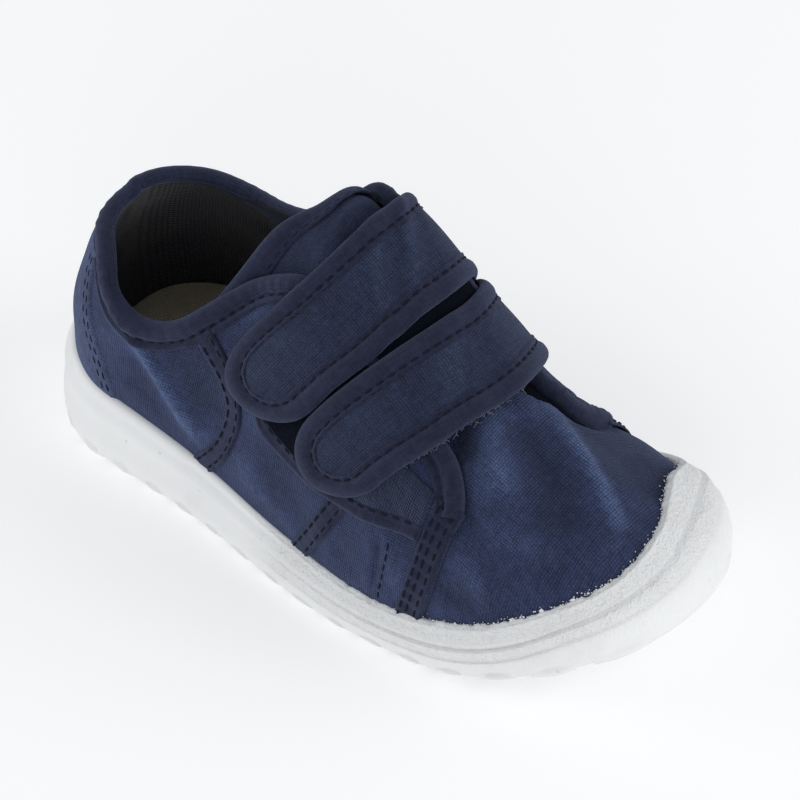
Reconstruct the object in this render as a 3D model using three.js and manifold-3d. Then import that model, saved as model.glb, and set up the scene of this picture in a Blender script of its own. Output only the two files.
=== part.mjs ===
// A child's canvas sneaker for the right foot, with two hook-and-loop straps and a moulded cup sole.
// Millimetres. +X points to the toe, -Y to the outer (little toe) side, +Z up.
// The origin is on the ground, under the middle of the shoe.
//
// Everything is worked out from one last: a plan outline, a side profile and rounded cross sections.
// "along" is the share of the sole's length from the heel. "around" is the share of the girth over
// the foot, from 0 at the outer feather edge, over the ridge at 0.5, to 1 at the inner feather edge.
import * as THREE from 'three';
import { mergeVertices } from 'three/addons/utils/BufferGeometryUtils.js';
import Module from 'manifold-3d';

const wasm = await Module();
wasm.setup();

// Driving dimensions
const SOLE_LENGTH = 165;
const GAP = 0.3;              // clearance between pieces that touch
const SHEET_GAP = 0.7;        // the same between bent sheets, whose facets differ
const RIM_WALL = 3;           // rubber rim beside the canvas
const UPPER_WALL = 1.8;       // canvas, lining and glue
const TONGUE_WALL = 2.4;
const INSOLE_WALL = 3;
const STRAP_WALL = 2.8;
const STRAP_WIDTH = 24;
const HEEL_RADIUS = 27;       // how far the round back of the sole reaches along it
const TOE_RADIUS = 42;
const NOSE_LENGTH = 34;       // how far the toe box takes to reach its full height
const CAP_START = 0.74;       // where along the sole the rim starts to turn in as a toe cap
const CAP_REACH = 0.24;
const CAP_LEAD = 0.06;        // how much earlier the toe cap rises on the big toe's side
const COLLAR_SPLIT = 3;       // the plane between the two flanks' collar heights
const THROAT_FLOOR = 26;      // the throat's cut starts above the rim and the insole
const ABOVE_ALL = 110;        // higher than the shoe
const BESIDE_ALL = 60;        // wider than half the shoe
const HEEL_SHARE = 0.45;      // the heel's curve fades out this far along
const GROOVE_WIDTH = 2.4;
const GROOVE_DEPTH = 1.6;
const GROOVE_PITCH = 9.5;
const GROOVE_MARGIN = 9;      // from the tips of the sole to the first and last grooves

// Stations and facets
const LAST_STATIONS = 46;
const LAST_FACETS = 22;
const SOLE_STATIONS = 40;
const ROUTE_STEPS = 120;

// Plan of the sole: the middle of each cross line, and half its width.
const PLAN = [
  { along: 0.00, middle: 0.0, half: 27.5 },
  { along: 0.15, middle: 0.0, half: 28.5 },
  { along: 0.32, middle: -0.8, half: 28.5 },
  { along: 0.48, middle: -2.2, half: 31.0 },
  { along: 0.63, middle: -1.8, half: 34.5 },
  { along: 0.75, middle: 0.3, half: 36.0 },
  { along: 0.88, middle: 3.6, half: 36.5 },
  { along: 1.00, middle: 5.0, half: 35.0 },
];

// Side view of the sole: underside, top of the rim, and the footbed inside it.
const SIDE = [
  { along: 0.00, under: 2.6, rim: 22.5, footbed: 10.0 },
  { along: 0.06, under: 0.8, rim: 21.0, footbed: 10.0 },
  { along: 0.12, under: 0.0, rim: 19.0, footbed: 9.6 },
  { along: 0.25, under: 0.0, rim: 15.8, footbed: 9.0 },
  { along: 0.31, under: 0.0, rim: 14.6, footbed: 8.7 },
  { along: 0.42, under: 0.7, rim: 12.3, footbed: 8.0 },
  { along: 0.54, under: 0.0, rim: 10.8, footbed: 7.2 },
  { along: 0.68, under: 0.0, rim: 11.0, footbed: 6.8 },
  { along: 0.76, under: 0.6, rim: 13.0, footbed: 7.0 },
  { along: 0.84, under: 2.4, rim: 16.8, footbed: 8.2 },
  { along: 0.92, under: 5.2, rim: 22.5, footbed: 10.2 },
  { along: 1.00, under: 9.0, rim: 29.5, footbed: 13.0 },
];

// Cross sections of the last: ridge height, where the ridge runs, and how full each flank is.
const LAST = [
  { along: 0.00, ridge: 71.0, middle: 0.0, outer: 3.0, inner: 3.0 },
  { along: 0.15, ridge: 67.0, middle: 1.0, outer: 2.8, inner: 2.8 },
  { along: 0.25, ridge: 63.5, middle: 3.5, outer: 2.4, inner: 2.8 },
  { along: 0.33, ridge: 66.0, middle: 7.5, outer: 1.9, inner: 3.0 },
  { along: 0.40, ridge: 70.5, middle: 10.5, outer: 1.7, inner: 3.2 },
  { along: 0.46, ridge: 67.0, middle: 10.5, outer: 1.7, inner: 3.0 },
  { along: 0.53, ridge: 61.0, middle: 9.5, outer: 1.75, inner: 2.6 },
  { along: 0.61, ridge: 54.5, middle: 7.0, outer: 1.85, inner: 2.1 },
  { along: 0.70, ridge: 47.0, middle: 4.5, outer: 2.0, inner: 1.85 },
  { along: 0.80, ridge: 40.5, middle: 4.0, outer: 2.1, inner: 1.85 },
  { along: 0.90, ridge: 36.5, middle: 4.5, outer: 2.2, inner: 2.0 },
  { along: 1.00, ridge: 34.0, middle: 5.0, outer: 2.2, inner: 2.2 },
];

// The heel's curve: how far the back leans to the toe, and how far the flanks draw in, by height.
const HEEL_CURVE = [
  { height: 8, lean: 0.0, tuck: 0.0 },
  { height: 20, lean: -0.5, tuck: 0.0 },
  { height: 30, lean: 0.0, tuck: 0.03 },
  { height: 40, lean: 2.5, tuck: 0.08 },
  { height: 50, lean: 6.5, tuck: 0.15 },
  { height: 60, lean: 10.5, tuck: 0.22 },
  { height: 75, lean: 15.0, tuck: 0.30 },
];

// The collar's height on each flank. Past its last row each flank ends at the throat.
const COLLAR = [
  { x: -90, outer: 52.0, inner: 52.0 },
  { x: -74, outer: 52.0, inner: 52.0 },
  { x: -69, outer: 50.3, inner: 51.0 },
  { x: -63, outer: 45.0, inner: 49.0 },
  { x: -57, outer: 40.3, inner: 47.3 },
  { x: -50, outer: 37.8, inner: 46.2 },
  { x: -36, outer: 42.0, inner: 49.0 },
  { x: -26, outer: 50.0, inner: 57.0 },
  { x: -14, outer: 59.5, inner: 69.0 },
];

// The throat's two edges, seen from above.
const THROAT = [
  { x: -34, outer: -7, inner: 17 },
  { x: -14, outer: -7, inner: 17 },
  { x: 10, outer: -9, inner: 17 },
  { x: 32, outer: -12, inner: 15 },
  { x: 40, outer: -10, inner: 12 },
  { x: 44, outer: -3, inner: 5 },
];

// The tongue's top edge, slanting forward from the outer side to the inner side.
const TONGUE_TOP = [
  { around: 0.25, along: 0.295 },
  { around: 0.38, along: 0.350 },
  { around: 0.48, along: 0.395 },
  { around: 0.66, along: 0.415 },
];
const TONGUE_FRONT = 0.83;
const TONGUE_EDGE = { outer: 0.25, inner: 0.66 };   // the share of the girth that the tongue covers

// Each strap's route over the foot, from its round free tip on the outer side to its sewn end.
const STRAP_ROUTES = {
  rear_strap: [
    { around: 0.15, along: 0.398 },
    { around: 0.20, along: 0.430 },
    { around: 0.34, along: 0.498 },
    { around: 0.50, along: 0.518 },
    { around: 0.64, along: 0.508 },
    { around: 0.80, along: 0.490 },
  ],
  front_strap: [
    { around: 0.14, along: 0.560 },
    { around: 0.20, along: 0.587 },
    { around: 0.35, along: 0.640 },
    { around: 0.50, along: 0.657 },
    { around: 0.64, along: 0.655 },
    { around: 0.80, along: 0.645 },
  ],
};

// A smooth curve through one named column of a table, against its first column.
function column(table, name) {
  const key = Object.keys(table[0])[0];
  const at = table.map((row) => row[key]);
  const value = table.map((row) => row[name]);
  const last = at.length - 1;
  const slope = at.map((_, i) => {
    const a = Math.max(i - 1, 0);
    const b = Math.min(i + 1, last);
    return (value[b] - value[a]) / (at[b] - at[a]);
  });
  return (where) => {
    const x = Math.min(Math.max(where, at[0]), at[last]);
    let i = 0;
    while (i < last - 1 && x > at[i + 1]) i += 1;
    const step = at[i + 1] - at[i];
    const t = (x - at[i]) / step;
    const rise = value[i + 1] - value[i];
    const bend = t * (1 - t);
    return value[i] + rise * t * t * (3 - 2 * t)
      + step * bend * ((1 - t) * slope[i] - t * slope[i + 1]);
  };
}

const planMiddle = column(PLAN, 'middle');
const planHalf = column(PLAN, 'half');
const underCurve = column(SIDE, 'under');
const rimTop = column(SIDE, 'rim');
const footbed = column(SIDE, 'footbed');
const ridgeHeight = column(LAST, 'ridge');
const ridgeMiddle = column(LAST, 'middle');
const fullness = { '-1': column(LAST, 'outer'), 1: column(LAST, 'inner') };
const heelLean = column(HEEL_CURVE, 'lean');
const heelTuck = column(HEEL_CURVE, 'tuck');
const tongueRear = column(TONGUE_TOP, 'along');

// The tread is exactly flat where the heel and the ball of the foot stand.
const under = (along) => Math.max(underCurve(along), 0);

const clamp = (value) => Math.min(Math.max(value, 0), 1);

const smooth = (value) => {
  const t = clamp(value);
  return t * t * (3 - 2 * t);
};

// A rounded end: 0 at the end itself, 1 once "reach" is passed.
const rounded = (distance, reach, power) => (1 - (1 - clamp(distance / reach)) ** power) ** (1 / power);

// Evenly spaced values from one to the other, both included.
const spread = (from, to, count) => {
  return Array.from({ length: count + 1 }, (_, i) => from + (to - from) * i / count);
};

// Stations from 0 to 1 that crowd together at both ends.
const crowded = (count) => {
  return Array.from({ length: count + 1 }, (_, i) => (1 - Math.cos(Math.PI * i / count)) / 2);
};

// One cross line of the outline drawn in by "inset".
function crossLine(along, inset) {
  const length = SOLE_LENGTH - 2 * inset;
  const back = along * length;
  const front = length - back;
  const ends = rounded(back, HEEL_RADIUS - inset, 2.15) * rounded(front, TOE_RADIUS - inset, 2.2);
  return {
    x: back - length / 2,
    middle: planMiddle(along),
    half: (planHalf(along) - inset) * ends,
    back,
    front,
  };
}

// A point on the last. "swell" moves the whole skin out (or in, when negative).
function lastPoint(along, around, swell, base = footbed(along)) {
  const line = crossLine(along, RIM_WALL + GAP - swell);
  const side = around < 0.5 ? -1 : 1;
  const angle = (around < 0.5 ? around : 1 - around) * Math.PI;
  const power = 2 / fullness[side](along);
  const top = base + (ridgeHeight(along) + swell - base) * rounded(line.front, NOSE_LENGTH, 2.3);
  const ends = rounded(line.front, TOE_RADIUS, 2.2) * rounded(line.back, HEEL_RADIUS, 2.15);
  const ridge = line.middle + (ridgeMiddle(along) - line.middle) * ends;
  const reach = side * (line.middle + side * line.half - ridge);
  const z = base + (top - base) * Math.sin(angle) ** power;
  const rear = clamp(1 - along / HEEL_SHARE);
  const drawn = 1 - heelTuck(z) * smooth(rear * 2.5);
  const y = ridge + side * reach * Math.max(Math.cos(angle), 0) ** power * drawn;
  return new THREE.Vector3(line.x + heelLean(z) * rear, y, z);
}

// A closed mesh from rows of points: each row is a closed ring, and the end rings are capped by
// joining the points that face each other across them.
function ringSolid(rings) {
  const count = rings[0].length;
  const points = rings.flat();
  const faces = [];
  const at = (ring, i) => ring * count + (i + count) % count;
  for (let r = 0; r < rings.length - 1; r += 1) {
    for (let i = 0; i < count; i += 1) {
      faces.push([at(r, i), at(r, i + 1), at(r + 1, i + 1)], [at(r, i), at(r + 1, i + 1), at(r + 1, i)]);
    }
  }
  const cap = (ring, flip) => {
    for (let i = 0; i < count / 2; i += 1) {
      const quad = [at(ring, i), at(ring, i + 1), at(ring, count - i - 1), at(ring, count - i)];
      const pair = [[quad[0], quad[2], quad[1]], [quad[0], quad[3], quad[2]]];
      faces.push(...(flip ? pair.map((face) => [...face].reverse()) : pair));
    }
  };
  cap(0, false);
  cap(rings.length - 1, true);
  return solid(points, faces);
}

function solid(points, faces) {
  const geometry = new THREE.BufferGeometry();
  geometry.setFromPoints(points);
  geometry.setIndex(faces.flat());
  return toManifold(geometry);
}

// Merges shared corners, drops faces with no area and turns the rest outward.
function toManifold(geometry) {
  geometry.deleteAttribute('normal');
  geometry.deleteAttribute('uv');
  const merged = mergeVertices(geometry, 1e-3);
  const index = merged.index.array;
  const corner = (i) => new THREE.Vector3().fromBufferAttribute(merged.attributes.position, i);
  const kept = [];
  let volume = 0;
  for (let i = 0; i < index.length; i += 3) {
    const [a, b, c] = [index[i], index[i + 1], index[i + 2]];
    if (a !== b && b !== c && c !== a) {
      kept.push(a, b, c);
      volume += corner(a).dot(corner(b).cross(corner(c)));
    }
  }
  if (volume < 0) kept.reverse();
  const mesh = new wasm.Mesh({
    numProp: 3,
    vertProperties: new Float32Array(merged.attributes.position.array),
    triVerts: new Uint32Array(kept),
  });
  return new wasm.Manifold(mesh);
}

function toGeometry(manifold) {
  const mesh = manifold.getMesh();
  const geometry = new THREE.BufferGeometry();
  geometry.setAttribute('position', new THREE.BufferAttribute(new Float32Array(mesh.vertProperties), 3));
  geometry.setIndex(new THREE.BufferAttribute(new Uint32Array(mesh.triVerts), 1));
  geometry.computeVertexNormals();
  return geometry;
}

// The outline's points around the sole with their outward directions, outer side first.
function outline(count) {
  const stations = crowded(count);
  const outer = stations.map((along) => ({ along, side: -1 }));
  const inner = stations.slice(1, -1).reverse().map((along) => ({ along, side: 1 }));
  const spots = [...outer, ...inner].map(({ along, side }) => {
    const line = crossLine(along, 0);
    return { along, side, x: line.x, y: line.middle + side * line.half };
  });
  const total = spots.length;
  return spots.map((spot, i) => {
    const before = spots[(i + total - 1) % total];
    const after = spots[(i + 1) % total];
    const size = Math.hypot(after.x - before.x, after.y - before.y);
    return { ...spot, outX: (after.y - before.y) / size, outY: -(after.x - before.x) / size };
  });
}

// The sole's outer skin. Its rows run from the tread edge up the wall and over the toe cap.
// "share" is the share of the wall's height, "drawIn" the distance inside the outline, and
// "capDrawIn" the extra distance inside it at the tip of the toe.
const WALL = [
  { share: 0.00, drawIn: 1.8, capDrawIn: 0.8 },
  { share: 0.09, drawIn: 0.7, capDrawIn: 0.2 },
  { share: 0.35, drawIn: 0.0, capDrawIn: 0.0 },
  { share: 0.62, drawIn: 0.1, capDrawIn: 1.4 },
  { share: 0.84, drawIn: 0.3, capDrawIn: 4.6 },
  { share: 0.96, drawIn: 0.7, capDrawIn: 7.8 },
  { share: 1.00, drawIn: 1.5, capDrawIn: 9.4 },
];

function soleSkin() {
  const edge = outline(SOLE_STATIONS);
  const rings = WALL.map((row) => edge.map((spot) => {
    const capAlong = spot.along + (spot.side > 0 ? CAP_LEAD * smooth((spot.along - 0.6) / 0.2) : 0);
    const inset = row.drawIn + row.capDrawIn * smooth((capAlong - CAP_START) / CAP_REACH);
    const low = under(spot.along);
    const z = low + row.share * (rimTop(capAlong) - low);
    return new THREE.Vector3(spot.x - spot.outX * inset, spot.y - spot.outY * inset, z);
  }));
  return ringSolid(rings);
}

// The last as a closed form, its skin moved by "swell" and its floor at "floor(along)".
function lastSolid(swell, floor) {
  const rings = crowded(LAST_STATIONS).map((along) => {
    const base = floor(along);
    return spread(1, 0, LAST_FACETS).map((around) => lastPoint(along, around, swell, base));
  });
  const count = LAST_FACETS + 1;
  const faces = [];
  const at = (ring, i) => ring * count + i;
  for (let r = 0; r < rings.length - 1; r += 1) {
    for (let i = 0; i < count; i += 1) {
      const next = (i + 1) % count;
      faces.push([at(r, i), at(r + 1, i), at(r + 1, next)], [at(r, i), at(r + 1, next), at(r, next)]);
    }
  }
  return solid(rings.flat(), faces);
}

// A flat outline pushed through along one direction: "axis" is 'y' for a side view, 'z' for a plan.
function prism(corners, axis, from, to) {
  const shape = new THREE.Shape(corners.map(([a, b]) => new THREE.Vector2(a, b)));
  const geometry = new THREE.ExtrudeGeometry(shape, { depth: to - from, bevelEnabled: false });
  if (axis === 'y') {
    geometry.rotateX(Math.PI / 2);
    geometry.translate(0, to, 0);
  } else {
    geometry.translate(0, 0, from);
  }
  return toManifold(geometry);
}

// What is open above the collar on one flank, seen from the side.
function collarOpening(flank, from, to) {
  const height = column(COLLAR, flank);
  const front = COLLAR[COLLAR.length - 1].x;
  const line = spread(COLLAR[0].x, front, 26).map((x) => [x, height(x)]);
  return prism([...line, [front, ABOVE_ALL], [COLLAR[0].x, ABOVE_ALL]], 'y', from, to);
}

// The throat between the two flanks, seen from above.
function throatOpening() {
  const outer = column(THROAT, 'outer');
  const inner = column(THROAT, 'inner');
  const stations = spread(THROAT[0].x, THROAT[THROAT.length - 1].x, 22);
  const there = stations.map((x) => [x, outer(x)]);
  const back = stations.map((x) => [x, inner(x)]).reverse();
  return prism([...there, ...back], 'z', THROAT_FLOOR, ABOVE_ALL);
}

// Grooves across the tread leave the main lugs between them.
function treadGrooves() {
  const end = SOLE_LENGTH / 2 - GROOVE_MARGIN;
  const nearby = 0.01;
  return spread(-end, end, Math.round(2 * end / GROOVE_PITCH)).map((x) => {
    const along = x / SOLE_LENGTH + 0.5;
    const rise = under(along + nearby) - under(along - nearby);
    const box = new THREE.BoxGeometry(GROOVE_WIDTH, 2 * BESIDE_ALL, 2 * GROOVE_DEPTH);
    box.rotateY(-Math.atan2(rise, 2 * nearby * SOLE_LENGTH));
    box.translate(x, 0, under(along));
    return toManifold(box);
  }).reduce((all, groove) => all.add(groove));
}

function soleGeometry() {
  const cavity = lastSolid(GAP, footbed);
  return toGeometry(soleSkin().subtract(cavity).subtract(treadGrooves()));
}

function upperGeometry() {
  const bottom = (along) => footbed(along) + GAP;
  const below = (along) => bottom(along) - UPPER_WALL;
  const opened = lastSolid(0, bottom).subtract(lastSolid(-UPPER_WALL, below))
    .subtract(collarOpening('outer', -BESIDE_ALL, COLLAR_SPLIT))
    .subtract(collarOpening('inner', COLLAR_SPLIT, BESIDE_ALL))
    .subtract(throatOpening());
  return toGeometry(opened);
}

// A bent sheet laid along the last. "place(u, v)" gives along and around; u runs across the foot.
function sheet(across, lengthwise, low, high, place) {
  const layer = (swell) => spread(0, 1, across).map((u) => spread(0, 1, lengthwise).map((v) => {
    const { along, around } = place(u, v);
    return lastPoint(along, around, swell);
  }));
  const rings = [];
  const top = layer(high);
  const bottom = layer(low);
  for (let i = 0; i <= across; i += 1) rings.push([...top[i], ...bottom[i].reverse()]);
  return ringSolid(rings);
}

function insoleGeometry() {
  const inset = RIM_WALL + GAP + UPPER_WALL + GAP;
  const rings = crowded(26).map((along) => {
    const line = crossLine(along, inset + 0.6);
    const low = footbed(along) + GAP;
    const level = [low, low + INSOLE_WALL * rounded(line.front, 6, 2) * rounded(line.back, 4, 2)];
    return [
      new THREE.Vector3(line.x, line.middle + line.half, level[0]),
      new THREE.Vector3(line.x, line.middle, level[0]),
      new THREE.Vector3(line.x, line.middle - line.half, level[0]),
      new THREE.Vector3(line.x, line.middle - line.half, level[1]),
      new THREE.Vector3(line.x, line.middle, level[1]),
      new THREE.Vector3(line.x, line.middle + line.half, level[1]),
    ];
  });
  return toGeometry(ringSolid(rings));
}

// The tongue lies under the throat, wider than it on both sides.
function tongueGeometry() {
  const high = -(UPPER_WALL + SHEET_GAP);
  return toGeometry(sheet(16, 20, high - TONGUE_WALL, high, (u, v) => {
    const around = TONGUE_EDGE.outer + (TONGUE_EDGE.inner - TONGUE_EDGE.outer) * u;
    const rear = tongueRear(around);
    return { along: rear + (TONGUE_FRONT - rear) * v, around };
  }));
}

// A strap crosses the instep from its round free tip to its sewn end.
function strapGeometry(rows) {
  const route = column(rows, 'along');
  const from = rows[0].around;
  const to = rows[rows.length - 1].around;
  const low = GAP;
  const high = GAP + STRAP_WALL;
  const middle = (low + high) / 2;
  const steps = spread(from, to, ROUTE_STEPS).map((around) => lastPoint(route(around), around, middle));
  const lengths = steps.reduce((sums, point, i) => {
    sums.push(i ? sums[i - 1] + point.distanceTo(steps[i - 1]) : 0);
    return sums;
  }, []);
  const full = lengths[lengths.length - 1];
  const radius = STRAP_WIDTH / 2;
  const nearby = 0.01;
  const tipStations = spread(0, 1, 6).map((t) => radius * (1 - Math.cos(t * Math.PI / 2)));
  const restStations = spread(radius, full, 18).slice(1);
  const stations = [...tipStations, ...restStations].map((distance) => {
    const i = Math.max(lengths.findIndex((sum) => sum >= distance - 1e-9), 1);
    const part = (distance - lengths[i - 1]) / (lengths[i] - lengths[i - 1]);
    const around = from + (to - from) * (i - 1 + part) / ROUTE_STEPS;
    const along = route(around);
    const ahead = lastPoint(along + nearby, around, middle);
    const stretch = ahead.distanceTo(lastPoint(along - nearby, around, middle)) / (2 * nearby);
    const half = radius * Math.max(rounded(distance, radius, 2), 0.02);
    return { along, around, half: half / stretch };
  });
  const rings = stations.map(({ along, around, half }) => {
    const edge = spread(-1, 1, 6).map((share) => along + half * share);
    const top = edge.map((where) => lastPoint(where, around, high));
    const bottom = edge.map((where) => lastPoint(where, around, low)).reverse();
    return [...top, ...bottom];
  });
  return toGeometry(ringSolid(rings));
}

function canvasMaterial() {
  return new THREE.MeshStandardMaterial({ color: 0x333d55, roughness: 0.95, metalness: 0 });
}

function rubberMaterial() {
  return new THREE.MeshStandardMaterial({ color: 0xe6e7e4, roughness: 0.55, metalness: 0 });
}

function insoleMaterial() {
  return new THREE.MeshStandardMaterial({ color: 0x8c7f66, roughness: 0.9, metalness: 0 });
}

function node(name, geometry, material) {
  const mesh = new THREE.Mesh(geometry, material);
  mesh.name = name;
  return mesh;
}

const pieces = new THREE.Group();
pieces.add(
  node('sole', soleGeometry(), rubberMaterial()),
  node('insole', insoleGeometry(), insoleMaterial()),
  node('upper', upperGeometry(), canvasMaterial()),
  node('tongue', tongueGeometry(), canvasMaterial()),
  ...Object.entries(STRAP_ROUTES).map(([name, rows]) => node(name, strapGeometry(rows), canvasMaterial())),
);

// The origin goes to the ground under the middle of the shoe's box.
const box = new THREE.Box3().setFromObject(pieces);
const centre = box.getCenter(new THREE.Vector3());
pieces.position.set(-centre.x, -centre.y, -box.min.z);

const shoe = new THREE.Group();
shoe.add(pieces);

export default shoe;
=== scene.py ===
"""A child's canvas sneaker for the right foot: two hook-and-loop straps and a white cup sole.

All the cloth lies on one last. "along" is the share of the sole's length from the heel. "around"
is the share of the girth over the foot: 0 at the outer feather edge, 0.5 on the ridge and 1 at the
inner feather edge. Sizes are millimetres, and meshes are made in metres.
"""

import math

import bmesh
import bpy
import numpy as np
from mathutils import Matrix, Vector
from mathutils.bvhtree import BVHTree


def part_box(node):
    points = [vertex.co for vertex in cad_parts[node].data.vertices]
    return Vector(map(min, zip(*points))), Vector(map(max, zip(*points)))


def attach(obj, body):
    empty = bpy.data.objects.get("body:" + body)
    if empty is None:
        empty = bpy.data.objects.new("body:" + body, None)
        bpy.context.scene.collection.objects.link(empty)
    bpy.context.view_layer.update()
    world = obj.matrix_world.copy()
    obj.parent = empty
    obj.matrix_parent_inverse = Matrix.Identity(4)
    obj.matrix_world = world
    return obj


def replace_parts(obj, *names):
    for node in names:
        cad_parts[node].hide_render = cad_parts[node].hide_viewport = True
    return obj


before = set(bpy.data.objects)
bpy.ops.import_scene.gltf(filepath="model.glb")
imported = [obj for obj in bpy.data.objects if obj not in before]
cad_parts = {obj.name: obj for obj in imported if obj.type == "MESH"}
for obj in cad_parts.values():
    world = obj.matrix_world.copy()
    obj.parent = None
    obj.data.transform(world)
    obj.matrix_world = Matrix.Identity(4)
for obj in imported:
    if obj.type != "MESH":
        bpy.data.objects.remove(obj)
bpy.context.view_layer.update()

MM = 0.001

# ---------------------------------------------------------------- the last

SOLE_LENGTH = 165.0
RIM_WALL = 3.3          # from the sole's outline to the canvas
HEEL_RADIUS = 27.0
TOE_RADIUS = 42.0
HEEL_POWER = 2.15       # how square the rounded ends are: 2 is a circle
TOE_POWER = 2.2
NOSE_LENGTH = 34.0
NOSE_POWER = 2.3
HEEL_SHARE = 0.45
TUCK_RISE = 2.5         # how soon the heel's tuck reaches its full depth


def rows(names, *values):
    """A short table: the names of its columns, then a row of numbers for each station."""
    return dict(zip(names.split(), np.array(values, float).T))


PLAN = rows(
    "along middle half",
    (0.00, 0.0, 27.5),
    (0.15, 0.0, 28.5),
    (0.32, -0.8, 28.5),
    (0.48, -2.2, 31.0),
    (0.63, -1.8, 34.5),
    (0.75, 0.3, 36.0),
    (0.88, 3.6, 36.5),
    (1.00, 5.0, 35.0),
)
SIDE = rows(
    "along under rim footbed",
    (0.00, 2.6, 22.5, 10.0),
    (0.06, 0.8, 21.0, 10.0),
    (0.12, 0.0, 19.0, 9.6),
    (0.25, 0.0, 15.8, 9.0),
    (0.31, 0.0, 14.6, 8.7),
    (0.42, 0.7, 12.3, 8.0),
    (0.54, 0.0, 10.8, 7.2),
    (0.68, 0.0, 11.0, 6.8),
    (0.76, 0.6, 13.0, 7.0),
    (0.84, 2.4, 16.8, 8.2),
    (0.92, 5.2, 22.5, 10.2),
    (1.00, 9.0, 29.5, 13.0),
)
LAST = rows(
    "along ridge middle outer inner",
    (0.00, 71.0, 0.0, 3.0, 3.0),
    (0.15, 67.0, 1.0, 2.8, 2.8),
    (0.25, 63.5, 3.5, 2.4, 2.8),
    (0.33, 66.0, 7.5, 1.9, 3.0),
    (0.40, 70.5, 10.5, 1.7, 3.2),
    (0.46, 67.0, 10.5, 1.7, 3.0),
    (0.53, 61.0, 9.5, 1.75, 2.6),
    (0.61, 54.5, 7.0, 1.85, 2.1),
    (0.70, 47.0, 4.5, 2.0, 1.85),
    (0.80, 40.5, 4.0, 2.1, 1.85),
    (0.90, 36.5, 4.5, 2.2, 2.0),
    (1.00, 34.0, 5.0, 2.2, 2.2),
)
HEEL_CURVE = rows(
    "height lean tuck",
    (8, 0.0, 0.00),
    (20, -0.5, 0.00),
    (30, 0.0, 0.03),
    (40, 3.0, 0.08),
    (50, 8.0, 0.15),
    (60, 12.5, 0.22),
    (75, 15.0, 0.30),
)
COLLAR = rows(
    "x outer inner",
    (-90, 52.0, 52.0),
    (-74, 52.0, 52.0),
    (-69, 50.3, 51.0),
    (-63, 48.0, 49.0),
    (-60, 45.6, 48.2),
    (-57, 41.6, 47.3),
    (-54, 39.4, 46.7),
    (-50, 38.0, 46.2),
    (-45.5, 38.0, 46.8),
    (-39, 40.9, 48.3),
    (-34.5, 44.8, 50.0),
    (-30, 49.0, 53.5),
    (-24.5, 53.8, 58.2),
    (-18, 57.2, 64.5),
    (-12, 59.2, 70.0),
)


def curve(table, name):
    """A smooth curve through one column of a table, against its first column."""
    at, value = next(iter(table.values())), table[name]
    low = np.maximum(np.arange(len(at)) - 1, 0)
    high = np.minimum(np.arange(len(at)) + 1, len(at) - 1)
    slope = (value[high] - value[low]) / (at[high] - at[low])

    def read(where):
        x = np.clip(where, at[0], at[-1])
        i = np.clip(np.searchsorted(at, x) - 1, 0, len(at) - 2)
        step = at[i + 1] - at[i]
        t = (x - at[i]) / step
        rise = value[i + 1] - value[i]
        bend = step * t * (1 - t) * ((1 - t) * slope[i] - t * slope[i + 1])
        return value[i] + rise * t * t * (3 - 2 * t) + bend

    return read


plan_middle, plan_half = curve(PLAN, "middle"), curve(PLAN, "half")
under_curve, rim_top, footbed = (curve(SIDE, name) for name in ("under", "rim", "footbed"))
ridge_height, ridge_middle = curve(LAST, "ridge"), curve(LAST, "middle")
outer_fullness, inner_fullness = curve(LAST, "outer"), curve(LAST, "inner")
heel_lean, heel_tuck = curve(HEEL_CURVE, "lean"), curve(HEEL_CURVE, "tuck")


def smooth(value):
    t = np.clip(value, 0, 1)
    return t * t * (3 - 2 * t)


def rounded(distance, reach, power):
    """A rounded end: 0 at the end itself, 1 once "reach" is passed."""
    return (1 - (1 - np.clip(distance / reach, 0, 1)) ** power) ** (1 / power)


def cross_line(along, inset):
    """A cross line of the sole's outline drawn in by "inset": its x, middle and half width."""
    length = SOLE_LENGTH - 2 * inset
    back = along * length
    front = length - back
    ends = rounded(back, HEEL_RADIUS - inset, HEEL_POWER)
    ends = ends * rounded(front, TOE_RADIUS - inset, TOE_POWER)
    return back - length / 2, plan_middle(along), (plan_half(along) - inset) * ends


def sole_shift():
    """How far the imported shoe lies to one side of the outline's own frame."""
    _, middle, half = cross_line(np.linspace(0, 1, 2001), 0)
    low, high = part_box("sole")
    return (low.y + high.y) / 2 / MM - ((middle - half).min() + (middle + half).max()) / 2


SHIFT = sole_shift()


def last(along, around):
    """Points on the last, where the canvas's outer face is."""
    along, around = np.broadcast_arrays(np.asarray(along, float), np.asarray(around, float))
    x, middle, half = cross_line(along, RIM_WALL)
    length = SOLE_LENGTH - 2 * RIM_WALL
    back, front = along * length, (1 - along) * length
    inner = around >= 0.5
    side = np.where(inner, 1.0, -1.0)
    angle = np.pi * np.where(inner, 1 - around, around)
    power = 2 / np.where(inner, inner_fullness(along), outer_fullness(along))
    base = footbed(along)
    top = base + (ridge_height(along) - base) * rounded(front, NOSE_LENGTH, NOSE_POWER)
    ends = rounded(front, TOE_RADIUS, TOE_POWER) * rounded(back, HEEL_RADIUS, HEEL_POWER)
    ridge = middle + (ridge_middle(along) - middle) * ends
    reach = side * (middle + side * half - ridge)
    z = base + (top - base) * np.sin(angle) ** power
    rear = np.clip(1 - along / HEEL_SHARE, 0, 1)
    drawn = 1 - heel_tuck(z) * smooth(rear * TUCK_RISE)
    y = ridge + side * reach * np.maximum(np.cos(angle), 0) ** power * drawn
    return np.stack([x + heel_lean(z) * rear, y + SHIFT, z], -1)


def to_turn(along):
    """The share of a half turn whose cosine gives "along": even steps at both ends."""
    return np.arccos(np.clip(1 - 2 * np.asarray(along, float), -1, 1)) / np.pi


def from_turn(turn):
    return (1 - np.cos(np.pi * turn)) / 2


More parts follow.
